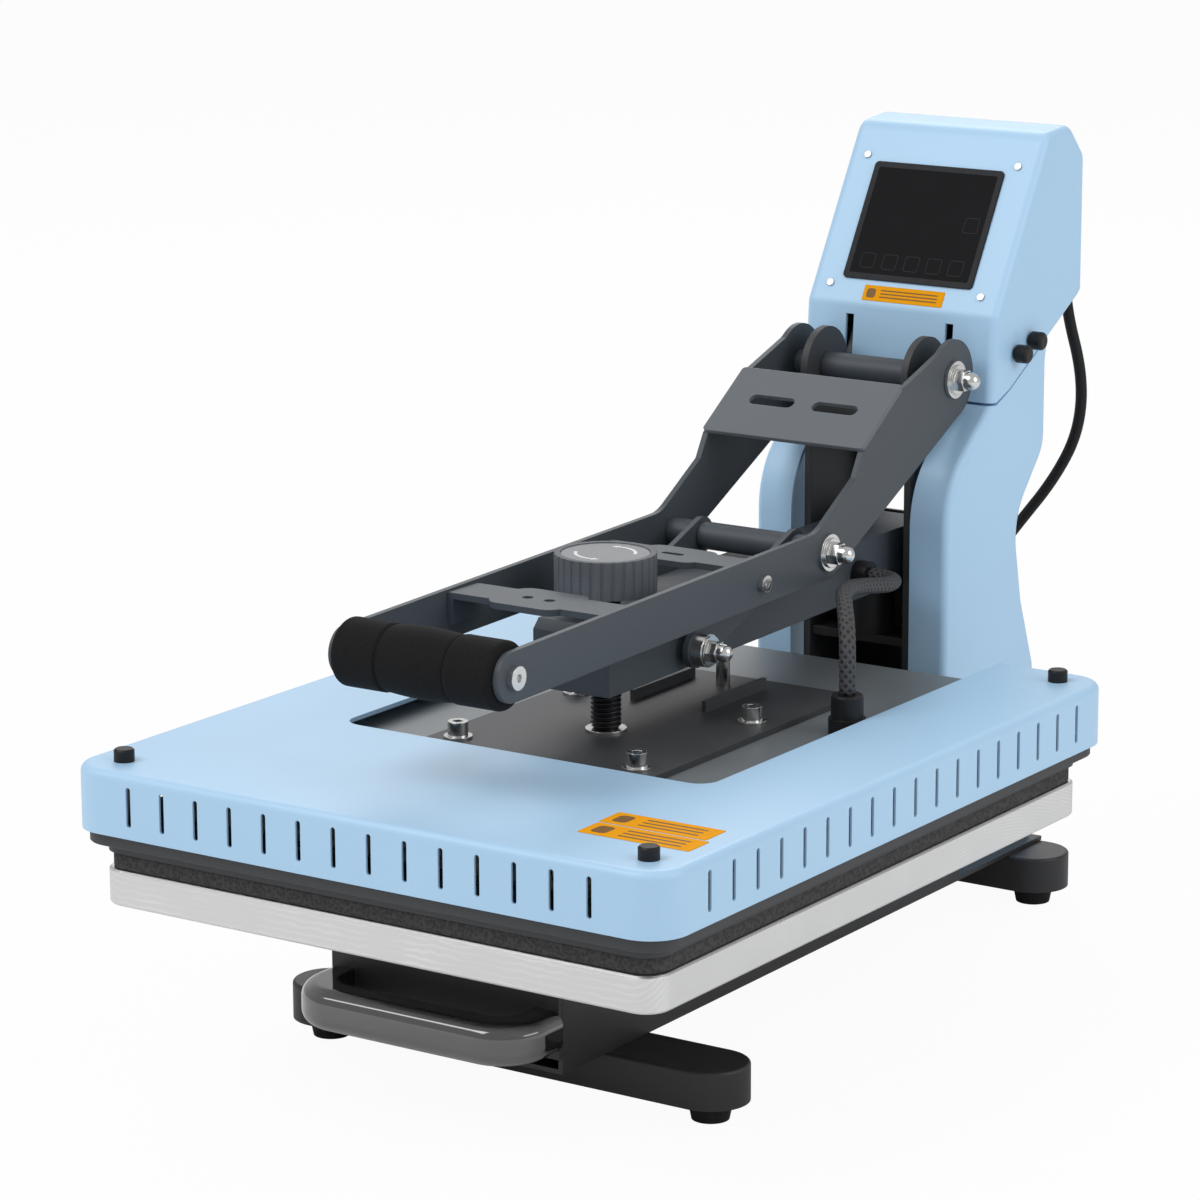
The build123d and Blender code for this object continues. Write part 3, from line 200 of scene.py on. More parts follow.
def read_line(points):
    """The smooth line through such control points, as an array of places along it."""
    guide = spline_curve("guide", points, 0.0)
    mesh = bpy.data.meshes.new_from_object(guide)
    line = np.empty(len(mesh.vertices) * 3)
    mesh.vertices.foreach_get("co", line)
    bpy.data.objects.remove(guide)
    bpy.data.meshes.remove(mesh)
    return line.reshape(-1, 3)


def line_length(line):
    """The sum of the distances from each place on a line to the next."""
    return float(np.linalg.norm(np.diff(line, axis=0), axis=1).sum())


# %% [markdown]
# The cord is now the free run, the turns and a short tail that comes off the coil and down to the
# plug. Its length is measured on the curve, so it is always the length of what is drawn.

# %% Power cord
plug_axis = 11.2
tail_points = [(tail_x, coil_entry, top_z), (tail_x, 592.0, top_z), (tail_x, 572.0, plug_axis),
               (tail_x, 551.0, plug_axis)]
cord_route = [place(*point) for point in cord_points + turns + tail_points]
power_lead = spline_curve("power_lead", cord_route, cord_radius * MM)
lead_length = line_length(read_line(cord_route))
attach(power_lead, "base")
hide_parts("power_cord", "cord_coil", "cord_tail")
print("power cord, metres:", round(lead_length, 3))

# %% [markdown]
# Materials come next. Every finish is a small graph of nodes that reads Object coordinates, so a
# grain keeps its real size on every piece, large or small. These helpers start a material, fill a
# socket, add a node and give a surface a fine relief. The relief starts from rounded normals,
# because no real sheet has a perfectly sharp edge, and a soft edge catches a line of light.


# %% Helpers for materials
def start(name, colour, roughness, metallic=0.0):
    """A new material and its shader, with the three values that every finish has."""
    material = bpy.data.materials.new(name)
    material.use_nodes = True
    shader = material.node_tree.nodes["Principled BSDF"]
    shader.inputs["Base Color"].default_value = (*colour, 1.0)
    shader.inputs["Roughness"].default_value = roughness
    shader.inputs["Metallic"].default_value = metallic
    return material, shader


def feed(material, target, value):
    """Fill a socket: another node's output is linked to it, and anything else is its constant."""
    if isinstance(value, bpy.types.NodeSocket):
        material.node_tree.links.new(value, target)
    else:
        target.default_value = value


def node(material, kind, **inputs):
    """One more node of a kind, with its named sockets filled."""
    made = material.node_tree.nodes.new(kind)
    for socket, value in inputs.items():
        feed(material, made.inputs[socket.replace("_", " ")], value)
    return made


def combine(material, operation, first, second):
    """The result of one arithmetic operation on two values."""
    made = node(material, "ShaderNodeMath")
    made.operation = operation
    feed(material, made.inputs[0], first)
    feed(material, made.inputs[1], second)
    return made.outputs["Value"]


def coordinates(material, stretch=(1.0, 1.0, 1.0)):
    """Object coordinates in metres, stretched along each axis."""
    source = node(material, "ShaderNodeTexCoord")
    mapping = node(material, "ShaderNodeMapping", Vector=source.outputs["Object"], Scale=stretch)
    return mapping.outputs["Vector"]


def relief(material, shader, height, distance, strength=0.5, edge=0.0006):
    """A bump of the given height map over normals that are rounded along the edges."""
    rounded = node(material, "ShaderNodeBevel", Radius=edge)
    rounded.samples = 4
    bump = node(material, "ShaderNodeBump", Strength=strength, Distance=distance, Height=height,
                Normal=rounded.outputs["Normal"])
    feed(material, shader.inputs["Normal"], bump.outputs["Normal"])


def shade(material, factor, dark, light):
    """A colour that runs from dark to light as the factor runs from 0.3 to 0.7."""
    ramp = node(material, "ShaderNodeValToRGB", Fac=factor)
    ramp.color_ramp.elements[0].position = 0.3
    ramp.color_ramp.elements[0].color = (*dark, 1.0)
    ramp.color_ramp.elements[1].position = 0.7
    ramp.color_ramp.elements[1].color = (*light, 1.0)
    return ramp.outputs["Color"]


def spread(colour, share):
    """The same colour a share darker and a share lighter."""
    return tuple(c * (1 - share) for c in colour), tuple(min(1.0, c * (1 + share)) for c in colour)


# %% [markdown]
# The covers, the lever and the base are sheet steel with powder paint, which is smooth from a step
# away and slightly pebbled close by. A picture of paint would show its seams, so two noises do
# it: a broad one that shifts the colour a little, and one finer than a millimetre for the pebbles.


# %% Painted finishes
def powder_paint(name, colour, roughness, grain=900.0, depth=0.00006, tint=0.03, coat=0.0):
    """Paint whose colour drifts over decimetres and whose surface is pebbled under a millimetre."""
    material, shader = start(name, colour, roughness)
    where = coordinates(material)
    broad = node(material, "ShaderNodeTexNoise", Vector=where, Scale=9.0, Detail=3.0)
    fine = node(material, "ShaderNodeTexNoise", Vector=where, Scale=grain, Detail=2.0)
    feed(material, shader.inputs["Base Color"],
         shade(material, broad.outputs["Fac"], *spread(colour, tint)))
    shader.inputs["Coat Weight"].default_value = coat
    shader.inputs["Coat Roughness"].default_value = 0.25
    relief(material, shader, fine.outputs["Fac"], depth, 0.35)
    return material


coarse = {"grain": 1200.0, "depth": 0.0001}
sky_paint = powder_paint("sky_paint", (0.435, 0.668, 0.90), 0.42, tint=0.015, coat=0.12)
graphite_paint = powder_paint("graphite_paint", (0.058, 0.070, 0.083), 0.5, **coarse)
# The same graphite paint made lighter: a painted sheen for the lever's top plate, where it catches the
# light.
graphite_paint_with_painted_sheen = powder_paint("graphite_paint_with_painted_sheen", (0.125, 0.140, 0.155), 0.42, **coarse)
deck_paint = powder_paint("deck_paint", (0.17, 0.19, 0.205), 0.42, **coarse)
plate_paint = powder_paint("plate_paint", (0.045, 0.047, 0.052), 0.55, grain=1400.0, depth=0.0001)
black_steel = powder_paint("black_steel", (0.018, 0.018, 0.02), 0.45, grain=1100.0, depth=0.0001)
print("finishes so far:", len(bpy.data.materials))

# %% [markdown]
# Bare metals are told apart by their scratches. The lower platen is milled aluminium, with crossing
# arcs left by the cutter; rails and bars are zinc plated, with straight lines; bolts are nearly
# mirrors. A noise that is squeezed along one axis gives lines, and a wave of rings gives arcs.


# %% Bare metals
def scratched_metal(name, colour, roughness, stretch, depth, contrast=0.1):
    """Metal with lines along one axis: noise squeezed across them, in roughness and in relief."""
    material, shader = start(name, colour, roughness, 1.0)
    lines = node(material, "ShaderNodeTexNoise", Vector=coordinates(material, stretch), Scale=60.0,
                 Detail=4.0)
    span = node(material, "ShaderNodeMapRange", Value=lines.outputs["Fac"],
                To_Min=roughness - contrast, To_Max=roughness + contrast)
    feed(material, shader.inputs["Roughness"], span.outputs["Result"])
    relief(material, shader, lines.outputs["Fac"], depth, 0.3)
    return material


def milled_metal(name, colour):
    """Metal with faint overlapping arcs: rings about the middle, multiplied by a cloudy noise."""
    material, shader = start(name, colour, 0.38, 1.0)
    where = coordinates(material, (1.0, 1.0, 1.6))
    rings = node(material, "ShaderNodeTexWave", Vector=where, Scale=95.0, Distortion=3.5, Detail=2.0)
    rings.wave_type = "RINGS"
    cloud = node(material, "ShaderNodeTexNoise", Vector=where, Scale=22.0, Detail=5.0)
    arcs = combine(material, "MULTIPLY", rings.outputs["Fac"], cloud.outputs["Fac"])
    feed(material, shader.inputs["Base Color"], shade(material, arcs, *spread(colour, 0.06)))
    relief(material, shader, arcs, 0.00002, 0.25)
    return material


upright, lengthwise, even = (1.0, 1.0, 9.0), (1.0, 12.0, 1.0), (1.0, 1.0, 1.0)
aluminium = milled_metal("milled_aluminium", (0.78, 0.78, 0.78))
bright_steel = scratched_metal("bright_steel", (0.72, 0.72, 0.71), 0.18, upright, 0.00002, 0.06)
zinc_steel = scratched_metal("zinc_steel", (0.55, 0.56, 0.57), 0.35, lengthwise, 0.00003)
thread_steel = scratched_metal("thread_steel", (0.05, 0.05, 0.055), 0.4, upright, 0.00003)
element_metal = scratched_metal("element_metal", (0.45, 0.42, 0.38), 0.4, even, 0.00003)
print("finishes so far:", len(bpy.data.materials))

# %% [markdown]
# Plastics and rubbers differ in gloss and in how coarse their skin is. The knob is finely grained,
# the feet and the cord are matt, the glass and the pull handle are smooth. One function serves
# them all, with a noise of the grain's size. Foam is another thing: it has open pores, so its
# colour and height follow the distance from the middle of small cells.


# %% Plastics, rubber, glass and cloth
def moulded(name, colour, roughness, grain, depth, tint=0.08, coat=0.0, shine=0.4):
    """A moulded skin: its colour and its relief follow one noise of the given grain."""
    material, shader = start(name, colour, roughness)
    skin = node(material, "ShaderNodeTexNoise", Vector=coordinates(material), Scale=grain, Detail=4.0)
    feed(material, shader.inputs["Base Color"],
         shade(material, skin.outputs["Fac"], *spread(colour, tint)))
    shader.inputs["Coat Weight"].default_value = coat
    shader.inputs["Coat Roughness"].default_value = 0.06
    shader.inputs["Specular IOR Level"].default_value = shine
    relief(material, shader, skin.outputs["Fac"], depth, 0.5)
    return material


def foam(name, colour, pore):
    """Foam with open pores: small cells whose borders stand a little higher than their middles."""
    material, shader = start(name, colour, 0.85)
    cells = node(material, "ShaderNodeTexVoronoi", Vector=coordinates(material), Scale=pore)
    feed(material, shader.inputs["Base Color"],
         shade(material, cells.outputs["Distance"], *spread(colour, 0.25)))
    shader.inputs["Specular IOR Level"].default_value = 0.25
    relief(material, shader, cells.outputs["Distance"], 0.0002, 0.6)
    return material


black_plastic = moulded("black_plastic", (0.010, 0.010, 0.011), 0.42, 700.0, 0.00005, shine=0.3)
gloss_black = moulded("gloss_black", (0.003, 0.003, 0.0035), 0.10, 120.0, 0.000004, coat=1.0, shine=0.6)
gloss_black.node_tree.nodes["Principled BSDF"].inputs["Coat IOR"].default_value = 2.0
knob_plastic = moulded("knob_plastic", (0.112, 0.122, 0.137), 0.6, 800.0, 0.00008)
disc_plastic = moulded("disc_plastic", (0.20, 0.21, 0.225), 0.45, 600.0, 0.00003)
rubber = moulded("black_rubber", (0.009, 0.009, 0.010), 0.62, 500.0, 0.0001, shine=0.3)
grip_skin = foam("grip_foam", (0.0055, 0.0055, 0.006), 900.0)
silicone = foam("dark_silicone", (0.055, 0.054, 0.056), 420.0)
wool = foam("mineral_wool", (0.55, 0.5, 0.38), 250.0)
board_green = moulded("circuit_board", (0.02, 0.13, 0.06), 0.5, 300.0, 0.00005)
print("finishes so far:", len(bpy.data.materials))

# %% [markdown]
# The panel's glass, the prints on it, the arrows on the knob and the stickers are flat and thin.
# They are smooth plastics with less shine than the rest, so that a lamp doesn't wash them out.

# %% Glass and prints
glass = moulded("panel_glass", (0.006, 0.0062, 0.0072), 0.16, 40.0, 0.000002, shine=0.03)
glass_border = moulded("glass_border", (0.030, 0.031, 0.035), 0.3, 200.0, 0.00001, shine=0.05)
key_print = moulded("key_print", (0.040, 0.041, 0.046), 0.5, 300.0, 0.00001, shine=0.05)
arrow_print = moulded("arrow_print", (0.75, 0.76, 0.77), 0.5, 300.0, 0.00001)
sticker = moulded("orange_sticker", (0.86, 0.36, 0.006), 0.6, 160.0, 0.00002, tint=0.03, shine=0.04)
sticker_dark = moulded("sticker_print", (0.20, 0.09, 0.01), 0.5, 300.0, 0.00001)
print("finishes so far:", len(bpy.data.materials))

# %% [markdown]
# A carried-over node keeps its shape and only gets its finish. One table says which finish each
# node has, so it is easy to see what is painted, bare or moulded. The nodes that the last line
# prints are the cord's, which the curve above stands for.

# %% Finishes of the carried-over nodes
finishes = {
    sky_paint: ("heat_cover", "head_shell", "post_cover_left", "post_cover_right", "head_back_panel"),
    graphite_paint: ("swing_arm", "arm_blocks", "lever_plates", "lever_crossbars", "link_straps",
                     "magnet_armature"),
    # painted sheen: the lever's top plate takes the lighter copy of the graphite paint
    graphite_paint_with_painted_sheen: ("lever_cross_plate",),
    deck_paint: ("cover_plate",),
    plate_paint: ("heating_platen", "pressure_bracket", "edge_frame", "post_plates"),
    black_steel: ("cross_feet", "base_channel", "drawer_carriage", "drawer_face", "post_back_plate",
                  "head_bracket", "hold_magnet"),
    aluminium: ("lower_platen",),
    bright_steel: ("bracket_fasteners", "guide_rod", "main_pivot", "link_shaft", "link_pins",
                   "lever_bolts"),
    zinc_steel: ("face_screws", "slide_outer_rails", "slide_inner_rails", "handle_bar",
                 "cover_posts", "arm_shaft"),
    thread_steel: ("pressure_screw",),
    black_plastic: ("head_knobs", "cover_thumb_screws", "switch_frame", "power_rocker",
                    "hose_gland", "arm_gland"),
    gloss_black: ("pull_handle",),
    knob_plastic: ("pressure_knob",),
    disc_plastic: ("knob_disc",),
    rubber: ("rubber_feet", "power_plug", "cord_gland"),
    wool: ("insulation_blanket",),
    board_green: ("head_electronics",),
    glass: ("screen_glass",),
    element_metal: ("heating_element",),
    silicone: ("silicone_pad",),
    grip_skin: ("handle_grip", "heater_hose"),
}
for finish, names in finishes.items():
    for name in names:
        slots = nodes[name].data.materials
        for index in range(len(slots)):
            slots[index] = finish
power_lead.data.materials.append(rubber)
bare = sorted(set(nodes) - {name for names in finishes.values() for name in names})
print("nodes with no finish here:", bare)

# %% [markdown]
# The new pieces are surfaces worked out on a grid. Each row of the grid is a closed ring of points,
# joined to the next row, and the first and last rings are closed by one face each. That is enough
# for a grip, a thread, a slab and a hose. Many turned pieces lie along x, so they share a helper.


# %% Grid meshes
def link(name, vertices, faces, material, smooth=True):
    """A mesh object at the origin, with its place in its vertices."""
    mesh = bpy.data.meshes.new(name)
    mesh.from_pydata(np.asarray(vertices).reshape(-1, 3).tolist(), [], faces)
    mesh.validate()
    mesh.shade_smooth() if smooth else mesh.shade_flat()
    mesh.materials.append(material)
    piece = bpy.data.objects.new(name, mesh)
    bpy.context.collection.objects.link(piece)
    return piece


def ring_faces(rows, columns):
    """Quads between neighbouring rows of closed rings, and one polygon over each end."""
    index = np.arange(rows * columns).reshape(rows, columns)
    ahead = np.roll(index, -1, axis=1)
    quads = np.stack([index[:-1], ahead[:-1], ahead[1:], index[1:]], axis=-1).reshape(-1, 4)
    return quads.tolist() + [index[0][::-1].tolist(), index[-1].tolist()]


def rings_about_x(middle, along, radius, sides):
    """A ring for each step along x: the middle plus the radius times the cosine and the sine."""
    angle = np.linspace(0, 2 * pi, sides, endpoint=False)
    return np.stack(np.broadcast_arrays(middle[0] + along[:, None],
                                        middle[1] + radius[:, None] * np.cos(angle),
                                        middle[2] + radius[:, None] * np.sin(angle)), axis=-1)


def dress(piece, body, slot, *replaced):
    """Attach a piece to what it rides on and hide the nodes that it stands for; slot is not used."""
    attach(piece, body)
    if replaced:
        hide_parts(*replaced)


# %% [markdown]
# The grip on the lever is two hard collars with a sleeve of foam between them, a little fuller in
# its middle. It could be three cylinders, but they would meet in dead straight lines. Instead the
# grip is one profile turned about the bar, with a fine groove where foam and collar meet.

# %% Foam grip
grip_middle = (low("handle_grip") + high("handle_grip")) / 2
grip_half = (high("handle_grip") - low("handle_grip"))[0] / 2
collar_radius = 0.0208
collar_length = 0.032
foam_radius = 0.0200
foam_swell = 0.0014
groove_depth, groove_width = 0.0008, 0.0009
edge_round = 0.003
end_radius = 0.0085


def grip_radius(x):
    """The radius at x: a collar with a quarter-round end, foam that swells as a cosine, a groove."""
    along = np.abs(x)
    collar_start = grip_half - collar_length
    end = np.clip((along - (grip_half - edge_round)) / edge_round, 0, 1)
    collar = collar_radius - edge_round * (1 - np.sqrt(1 - end ** 2))
    swell = foam_radius + foam_swell * np.cos(np.clip(along / collar_start, 0, 1) * pi / 2)
    groove = groove_depth * np.exp(-((along - collar_start) / groove_width) ** 2)
    return np.where(along > collar_start, collar, swell) - groove


grip_x = np.concatenate([[-grip_half], np.linspace(-grip_half, grip_half, 181), [grip_half]])
grip_r = grip_radius(grip_x)
grip_r[[0, -1]] = end_radius
grip_sides = 64
foam_grip = link("foam_grip", rings_about_x(grip_middle, grip_x, grip_r, grip_sides),
                 ring_faces(len(grip_x), grip_sides), grip_skin)
dress(foam_grip, "lever", "grip_foam", "handle_grip")
print("grip length, metres:", round(2 * grip_half, 4))

# %% [markdown]
# The pad on the lower platen is a dense slab of silicone foam with a slightly rounded rim. A
# bevelled box would do for one pad, but the outline with round corners also serves the stickers
# and keys, so it is a function. Each row of the slab is that outline drawn in a little.


# %% Rounded slabs
def round_outline(half_x, half_y, radius, per_corner=10):
    """The outline of a rectangle with round corners, counter-clockwise, as an array of x and y.

    Each corner is a quarter circle about a point that lies one radius in from both sides.
    """
    angles = np.linspace(0, pi / 2, per_corner)
    corners = []
    for quarter, (sx, sy) in enumerate(((1, 1), (-1, 1), (-1, -1), (1, -1))):
        turned = angles + quarter * pi / 2
        corners.append(np.stack([sx * (half_x - radius) + radius * np.cos(turned),
                                 sy * (half_y - radius) + radius * np.sin(turned)], axis=-1))
    return np.concatenate(corners)


def slab(name, middle, half_x, half_y, corner, bottom, top, edge, material):
    """A slab with a rounded upper and lower edge: rings of its outline, drawn in along a quarter arc."""
    arc = np.linspace(0, pi / 2, 6)
    inset = np.concatenate([edge * (1 - np.sin(arc)), edge * (1 - np.cos(arc))])
    height = np.concatenate([bottom + edge * (1 - np.cos(arc)), top - edge * (1 - np.sin(arc))])
    rings = []
    for drawn_in, z in zip(inset, height):
        ring = round_outline(half_x - drawn_in, half_y - drawn_in, corner - drawn_in)
        rings.append(np.column_stack([ring + np.asarray(middle[:2]), np.full(len(ring), z)]))
    return link(name, np.stack(rings), ring_faces(len(rings), len(rings[0])), material)


# %% Foam pad
pad_low, pad_high = low("silicone_pad"), high("silicone_pad")
pad_middle, pad_size = (pad_low + pad_high) / 2, pad_high - pad_low
pad_corner, pad_edge = 0.016, 0.0015
foam_pad = slab("foam_pad", pad_middle, pad_size[0] / 2, pad_size[1] / 2, pad_corner, pad_low[2],
                pad_high[2], pad_edge, silicone)
dress(foam_pad, "drawer", "dark_silicone", "silicone_pad")
print("pad, metres:", pad_size.round(4))

# %% [markdown]
# The pressure screw has a real thread, which its node leaves out. A thread could be a small profile
# swept along a helix, but it is simpler as a surface whose radius depends on the angle and the
# height together: the crest climbs by one pitch in each turn, and fades out at both ends.

# %% Threaded screw
screw_low, screw_high = low("pressure_screw"), high("pressure_screw")
screw_middle = (screw_low + screw_high) / 2
screw_radius = (screw_high - screw_low)[0] / 2
screw_pitch = 0.003
thread_depth = 0.0018
flank = 1.6
run_out = 0.002
screw_turn = np.linspace(0, 2 * pi, 40, endpoint=False)
screw_z = np.linspace(screw_low[2], screw_high[2], 300)
phase = (screw_z[:, None] / screw_pitch - screw_turn[None, :] / (2 * pi)) % 1.0
crest = np.clip(flank * (1 - np.abs(2 * phase - 1)), 0, 1)
ends = np.clip(np.minimum(screw_z - screw_z[0], screw_z[-1] - screw_z) / run_out, 0, 1)[:, None]
screw_r = screw_radius - thread_depth + thread_depth * crest * ends
screw_points = np.stack(np.broadcast_arrays(screw_middle[0] + screw_r * np.cos(screw_turn),
                                            screw_middle[1] + screw_r * np.sin(screw_turn),
                                            screw_z[:, None]), axis=-1)
threaded_screw = link("threaded_screw", screw_points, ring_faces(*screw_r.shape), thread_steel)
dress(threaded_screw, "pressure_control", "black_steel", "pressure_screw")
print("turns of thread:", round((screw_z[-1] - screw_z[0]) / screw_pitch, 1))

# %% [markdown]
# The two cross shafts of the lever run inside painted spacer tubes, and only their nuts are bright.
# A tube with square ends is a closed profile of four points turned about the shaft: out at one
# end, along the outside, in at the other end and back along the bore.


# %% Spacer tubes on the shafts
def spacer(name, middle, start_x, end_x, inner, outer, body):
    """A rectangle turned about the shaft, with quads between each of its corners and the next."""
    sides = 48
    rows = rings_about_x(middle, np.array([start_x, start_x, end_x, end_x]),
                         np.array([inner, outer, outer, inner]), sides)
    index = np.arange(4 * sides).reshape(4, sides)
    ahead = np.roll(index, -1, axis=1)
    below, below_ahead = np.roll(index, -1, axis=0), np.roll(ahead, -1, axis=0)
    faces = np.stack([index, below, below_ahead, ahead], axis=-1).reshape(-1, 4).tolist()
    dress(link(name, rows, faces, graphite_paint, smooth=False), body, "graphite_paint")


main_middle = (0.0, *place(0, 322.0, 371.9)[1:])
link_middle = (0.0, *place(0, 163.0, 284.9)[1:])
main_bore, main_outer = 0.0067, 0.0095
link_bore, link_outer = 0.0062, 0.0090
clear = 0.0003
for side, mark in ((-1, "left"), (1, "right")):
    for shaft, middle, body, outer_radius, near, far in (
            ("main", main_middle, "base", main_outer, 0.0413, 0.0567),
            ("link", link_middle, "lever", link_outer, 0.0373, 0.0569)):
        spacer(f"{shaft}_spacer_{mark}", middle, min(side * near, side * far),
               max(side * near, side * far), main_bore, outer_radius, body)
spacer("main_sleeve", main_middle, -0.036 + clear, 0.036 - clear, main_bore, main_outer, "base")
spacer("link_sleeve", link_middle, -0.033 + clear, 0.033 - clear, link_bore, link_outer, "lever")
print("shafts at", [round(v, 4) for v in main_middle], [round(v, 4) for v in link_middle])

# %% [markdown]
# The wires of the heater run in a braided sleeve from a gland on the platen's plate up to the arm.
# It is a tube carried along a smooth line, as a mesh and not a curve, because it needs a map of
# its own surface for the braid. On that map one unit across is one turn, and one unit along is
# the same length, so the strands cross at right angles everywhere.


# %% Tube with a surface map
def tube(name, line, radius, sides, material):
    """Circles carried square to a line, with a surface map: turns across and turns' lengths along.

    The last face of each ring closes the circle, so its far corners read a full turn, not zero.
    """
    steps = np.gradient(line, axis=0)
    steps /= np.linalg.norm(steps, axis=1)[:, None]
    across = np.cross(steps, (0.31, 0.95, 0.02))
    across /= np.linalg.norm(across, axis=1)[:, None]
    other = np.cross(steps, across)
    angle = np.linspace(0, 2 * pi, sides, endpoint=False)
    ring = np.cos(angle)[None, :, None] * across[:, None] + np.sin(angle)[None, :, None] * other[:, None]
    piece = link(name, line[:, None] + radius * ring, ring_faces(len(line), sides), material)

    loops, polygons = piece.data.loops, piece.data.polygons
    corners = np.empty(len(loops), dtype=np.int32)
    loops.foreach_get("vertex_index", corners)
    totals = np.empty(len(polygons), dtype=np.int32)
    polygons.foreach_get("loop_total", totals)
    row, column = np.divmod(corners, sides)
    owner = np.repeat(np.arange(len(totals)), totals)
    first = np.full(len(totals), sides)
    last = np.zeros(len(totals), dtype=np.int64)
    np.minimum.at(first, owner, column)
    np.maximum.at(last, owner, column)
    closing = ((first == 0) & (last == sides - 1))[owner] & (column == 0)
    travelled = np.concatenate([[0], np.cumsum(np.linalg.norm(np.diff(line, axis=0), axis=1))])
    surface = np.stack([(column + sides * closing) / sides, travelled[row] / (2 * pi * radius)], axis=-1)
    piece.data.uv_layers.new(name="surface").data.foreach_set("uv", surface.ravel())
    return piece


# %% Braid
def braid(name, colour):
    """Two slanting waves on the surface map, the higher one on top at each crossing."""
    material, shader = start(name, colour, 0.6)
    surface = node(material, "ShaderNodeUVMap")
    surface.uv_map = "surface"
    strands = []
    for lean in (-pi / 4, pi / 4):
        turned = node(material, "ShaderNodeMapping", Vector=surface.outputs["UV"], Rotation=(0, 0, lean))
        wave = node(material, "ShaderNodeTexWave", Vector=turned.outputs["Vector"], Scale=2.55)
        strands.append(wave.outputs["Fac"])
    over = combine(material, "MAXIMUM", *strands)
    gap_colour, strand_colour = tuple(c * 0.35 for c in colour), tuple(c * 2.4 for c in colour)
    feed(material, shader.inputs["Base Color"], shade(material, over, gap_colour, strand_colour))
    relief(material, shader, over, 0.0007, 0.9, edge=0.0001)
    return material


# %% Braided hose
hose_radius = 5.2
hose_points = [(121.0, 88.0, 216.4), (121.0, 88.0, 238.0), (115.0, 97.0, 255.0), (102.0, 116.0, 264.0),
               (86.0, 140.0, 266.0), (75.0, 168.0, 263.0), (70.0, 200.0, 257.0), (67.0, 231.0, 251.0),
               (58.0, 256.0, 249.0), (38.0, 256.0, 249.0)]
hose_line = read_line([place(*point) for point in hose_points])
braid_cloth = braid("braided_sleeve", (0.022, 0.022, 0.024))
braided_hose = tube("braided_hose", hose_line, hose_radius * MM, 28, braid_cloth)
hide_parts("heater_hose")
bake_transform(braided_hose)
print("hose length, metres:", round(line_length(hose_line), 3))

# %% [markdown]
# Stickers, touch keys and arrows are thin plates. They could be painted on by a material, but a
# plate keeps its crisp edge in every view. A plate is an outline in its
# own plane with a small thickness; the plane is given by a point and two directions in it.


# %% Thin plates
def plate(name, outlines, origin, right, up, thickness, material):
    """A flat plate: an outer outline and an optional inner one, raised along the plane's normal.

    A point of an outline is the origin plus its first number times right and its second times up.
    """
    right, up = np.asarray(right, float), np.asarray(up, float)
    normal = np.cross(right, up)
    origin = np.asarray(origin, float)
    flat = [np.asarray(outline) for outline in outlines]
    layers = [origin + outline[:, :1] * right + outline[:, 1:] * up + lift * normal
              for lift in (0.0, thickness) for outline in flat]
    count = len(flat[0])
    index = np.arange(count)
    ahead = np.roll(index, -1)
    top = len(flat) * count
    if len(flat) == 1:
        faces = [index[::-1].tolist(), (index + top).tolist()]
        faces += np.stack([index, ahead, ahead + top, index + top], axis=-1).tolist()
    else:
        inner = count
        faces = np.concatenate([
            np.stack([index + inner, ahead + inner, ahead, index], axis=-1),
            np.stack([index + top, ahead + top, ahead + top + inner, index + top + inner], axis=-1),
            np.stack([index, ahead, ahead + top, index + top], axis=-1),
            np.stack([ahead + inner, index + inner, index + inner + top, ahead + inner + top], axis=-1),
        ]).tolist()
    return link(name, np.concatenate(layers), faces, material, smooth=False)


# %% [markdown]
# The two orange stickers lie on the heat cover, one behind the other, turned a little as a hand
# puts them. They are plain, with a darker block and bars where such stickers are printed.

# %% Stickers on the cover
cover_top = high("heat_cover")[2]
sticker_lift = 0.00002
sticker_thick = 0.00018
print_thick = 0.00004
sticker_depth = 0.0225


def top_sticker(name, near_left, near_right, depth):
    """A sticker on the cover's top: its near edge joins two points, and it reaches back by a depth.

    The block and the bars are shares of its width and depth, so they suit any sticker.
    """
    start_point = np.array(place(*near_left, 0))[:2]
    end_point = np.array(place(*near_right, 0))[:2]
    width = float(np.linalg.norm(end_point - start_point))
    across = (end_point - start_point) / width
    inward = np.array([-across[1], across[0]])
    middle = (start_point + end_point) / 2 + inward * depth / 2
    origin = (*middle, cover_top + sticker_lift)
    print_origin = (*middle, cover_top + sticker_lift + sticker_thick)
    right, up = (*across, 0), (*inward, 0)
    base = plate(name, [round_outline(width / 2, depth / 2, 0.0015)], origin, right, up,
                 sticker_thick, sticker)
    dress(base, "upper_platen", "sky_paint")
    prints = [(-width * 0.36, 0.0, width * 0.07, depth * 0.30)]
    prints += [(width * 0.10, (row - 1) * depth * 0.24, width * 0.28, depth * 0.045) for row in range(3)]
    for number, (x, y, half_x, half_y) in enumerate(prints):
        outline = round_outline(half_x, half_y, min(half_x, half_y) * 0.6, 5) + (x, y)
        mark = plate(f"{name}_mark_{number}", [outline], print_origin, right, up, print_thick, sticker_dark)
        dress(mark, "upper_platen", "sky_paint")


top_sticker("cover_sticker_near", (124.0, -215.0), (199.0, -214.0), sticker_depth)
top_sticker("cover_sticker_far", (122.6, -191.0), (195.0, -190.0), sticker_depth)
print("stickers lie at z =", round(cover_top, 4))

# %% [markdown]
# The face of the head leans back. Its lower and upper edge give the slope, and the slope gives
# three directions: across, up along the face, and straight off it. Whatever lies on the face is
# placed with these, so nothing has to be turned by hand.

# %% Plane of the head's face
crease = (356.0, 409.5)
brow = (424.0, 524.0)
face_slope = atan2(brow[1] - crease[1], brow[0] - crease[0])
face_up = np.array([0.0, cos(face_slope), sin(face_slope)])
face_out = np.array([0.0, -sin(face_slope), cos(face_slope)])
face_right = np.array([1.0, 0.0, 0.0])
face_origin = np.array(place(0.0, *crease))


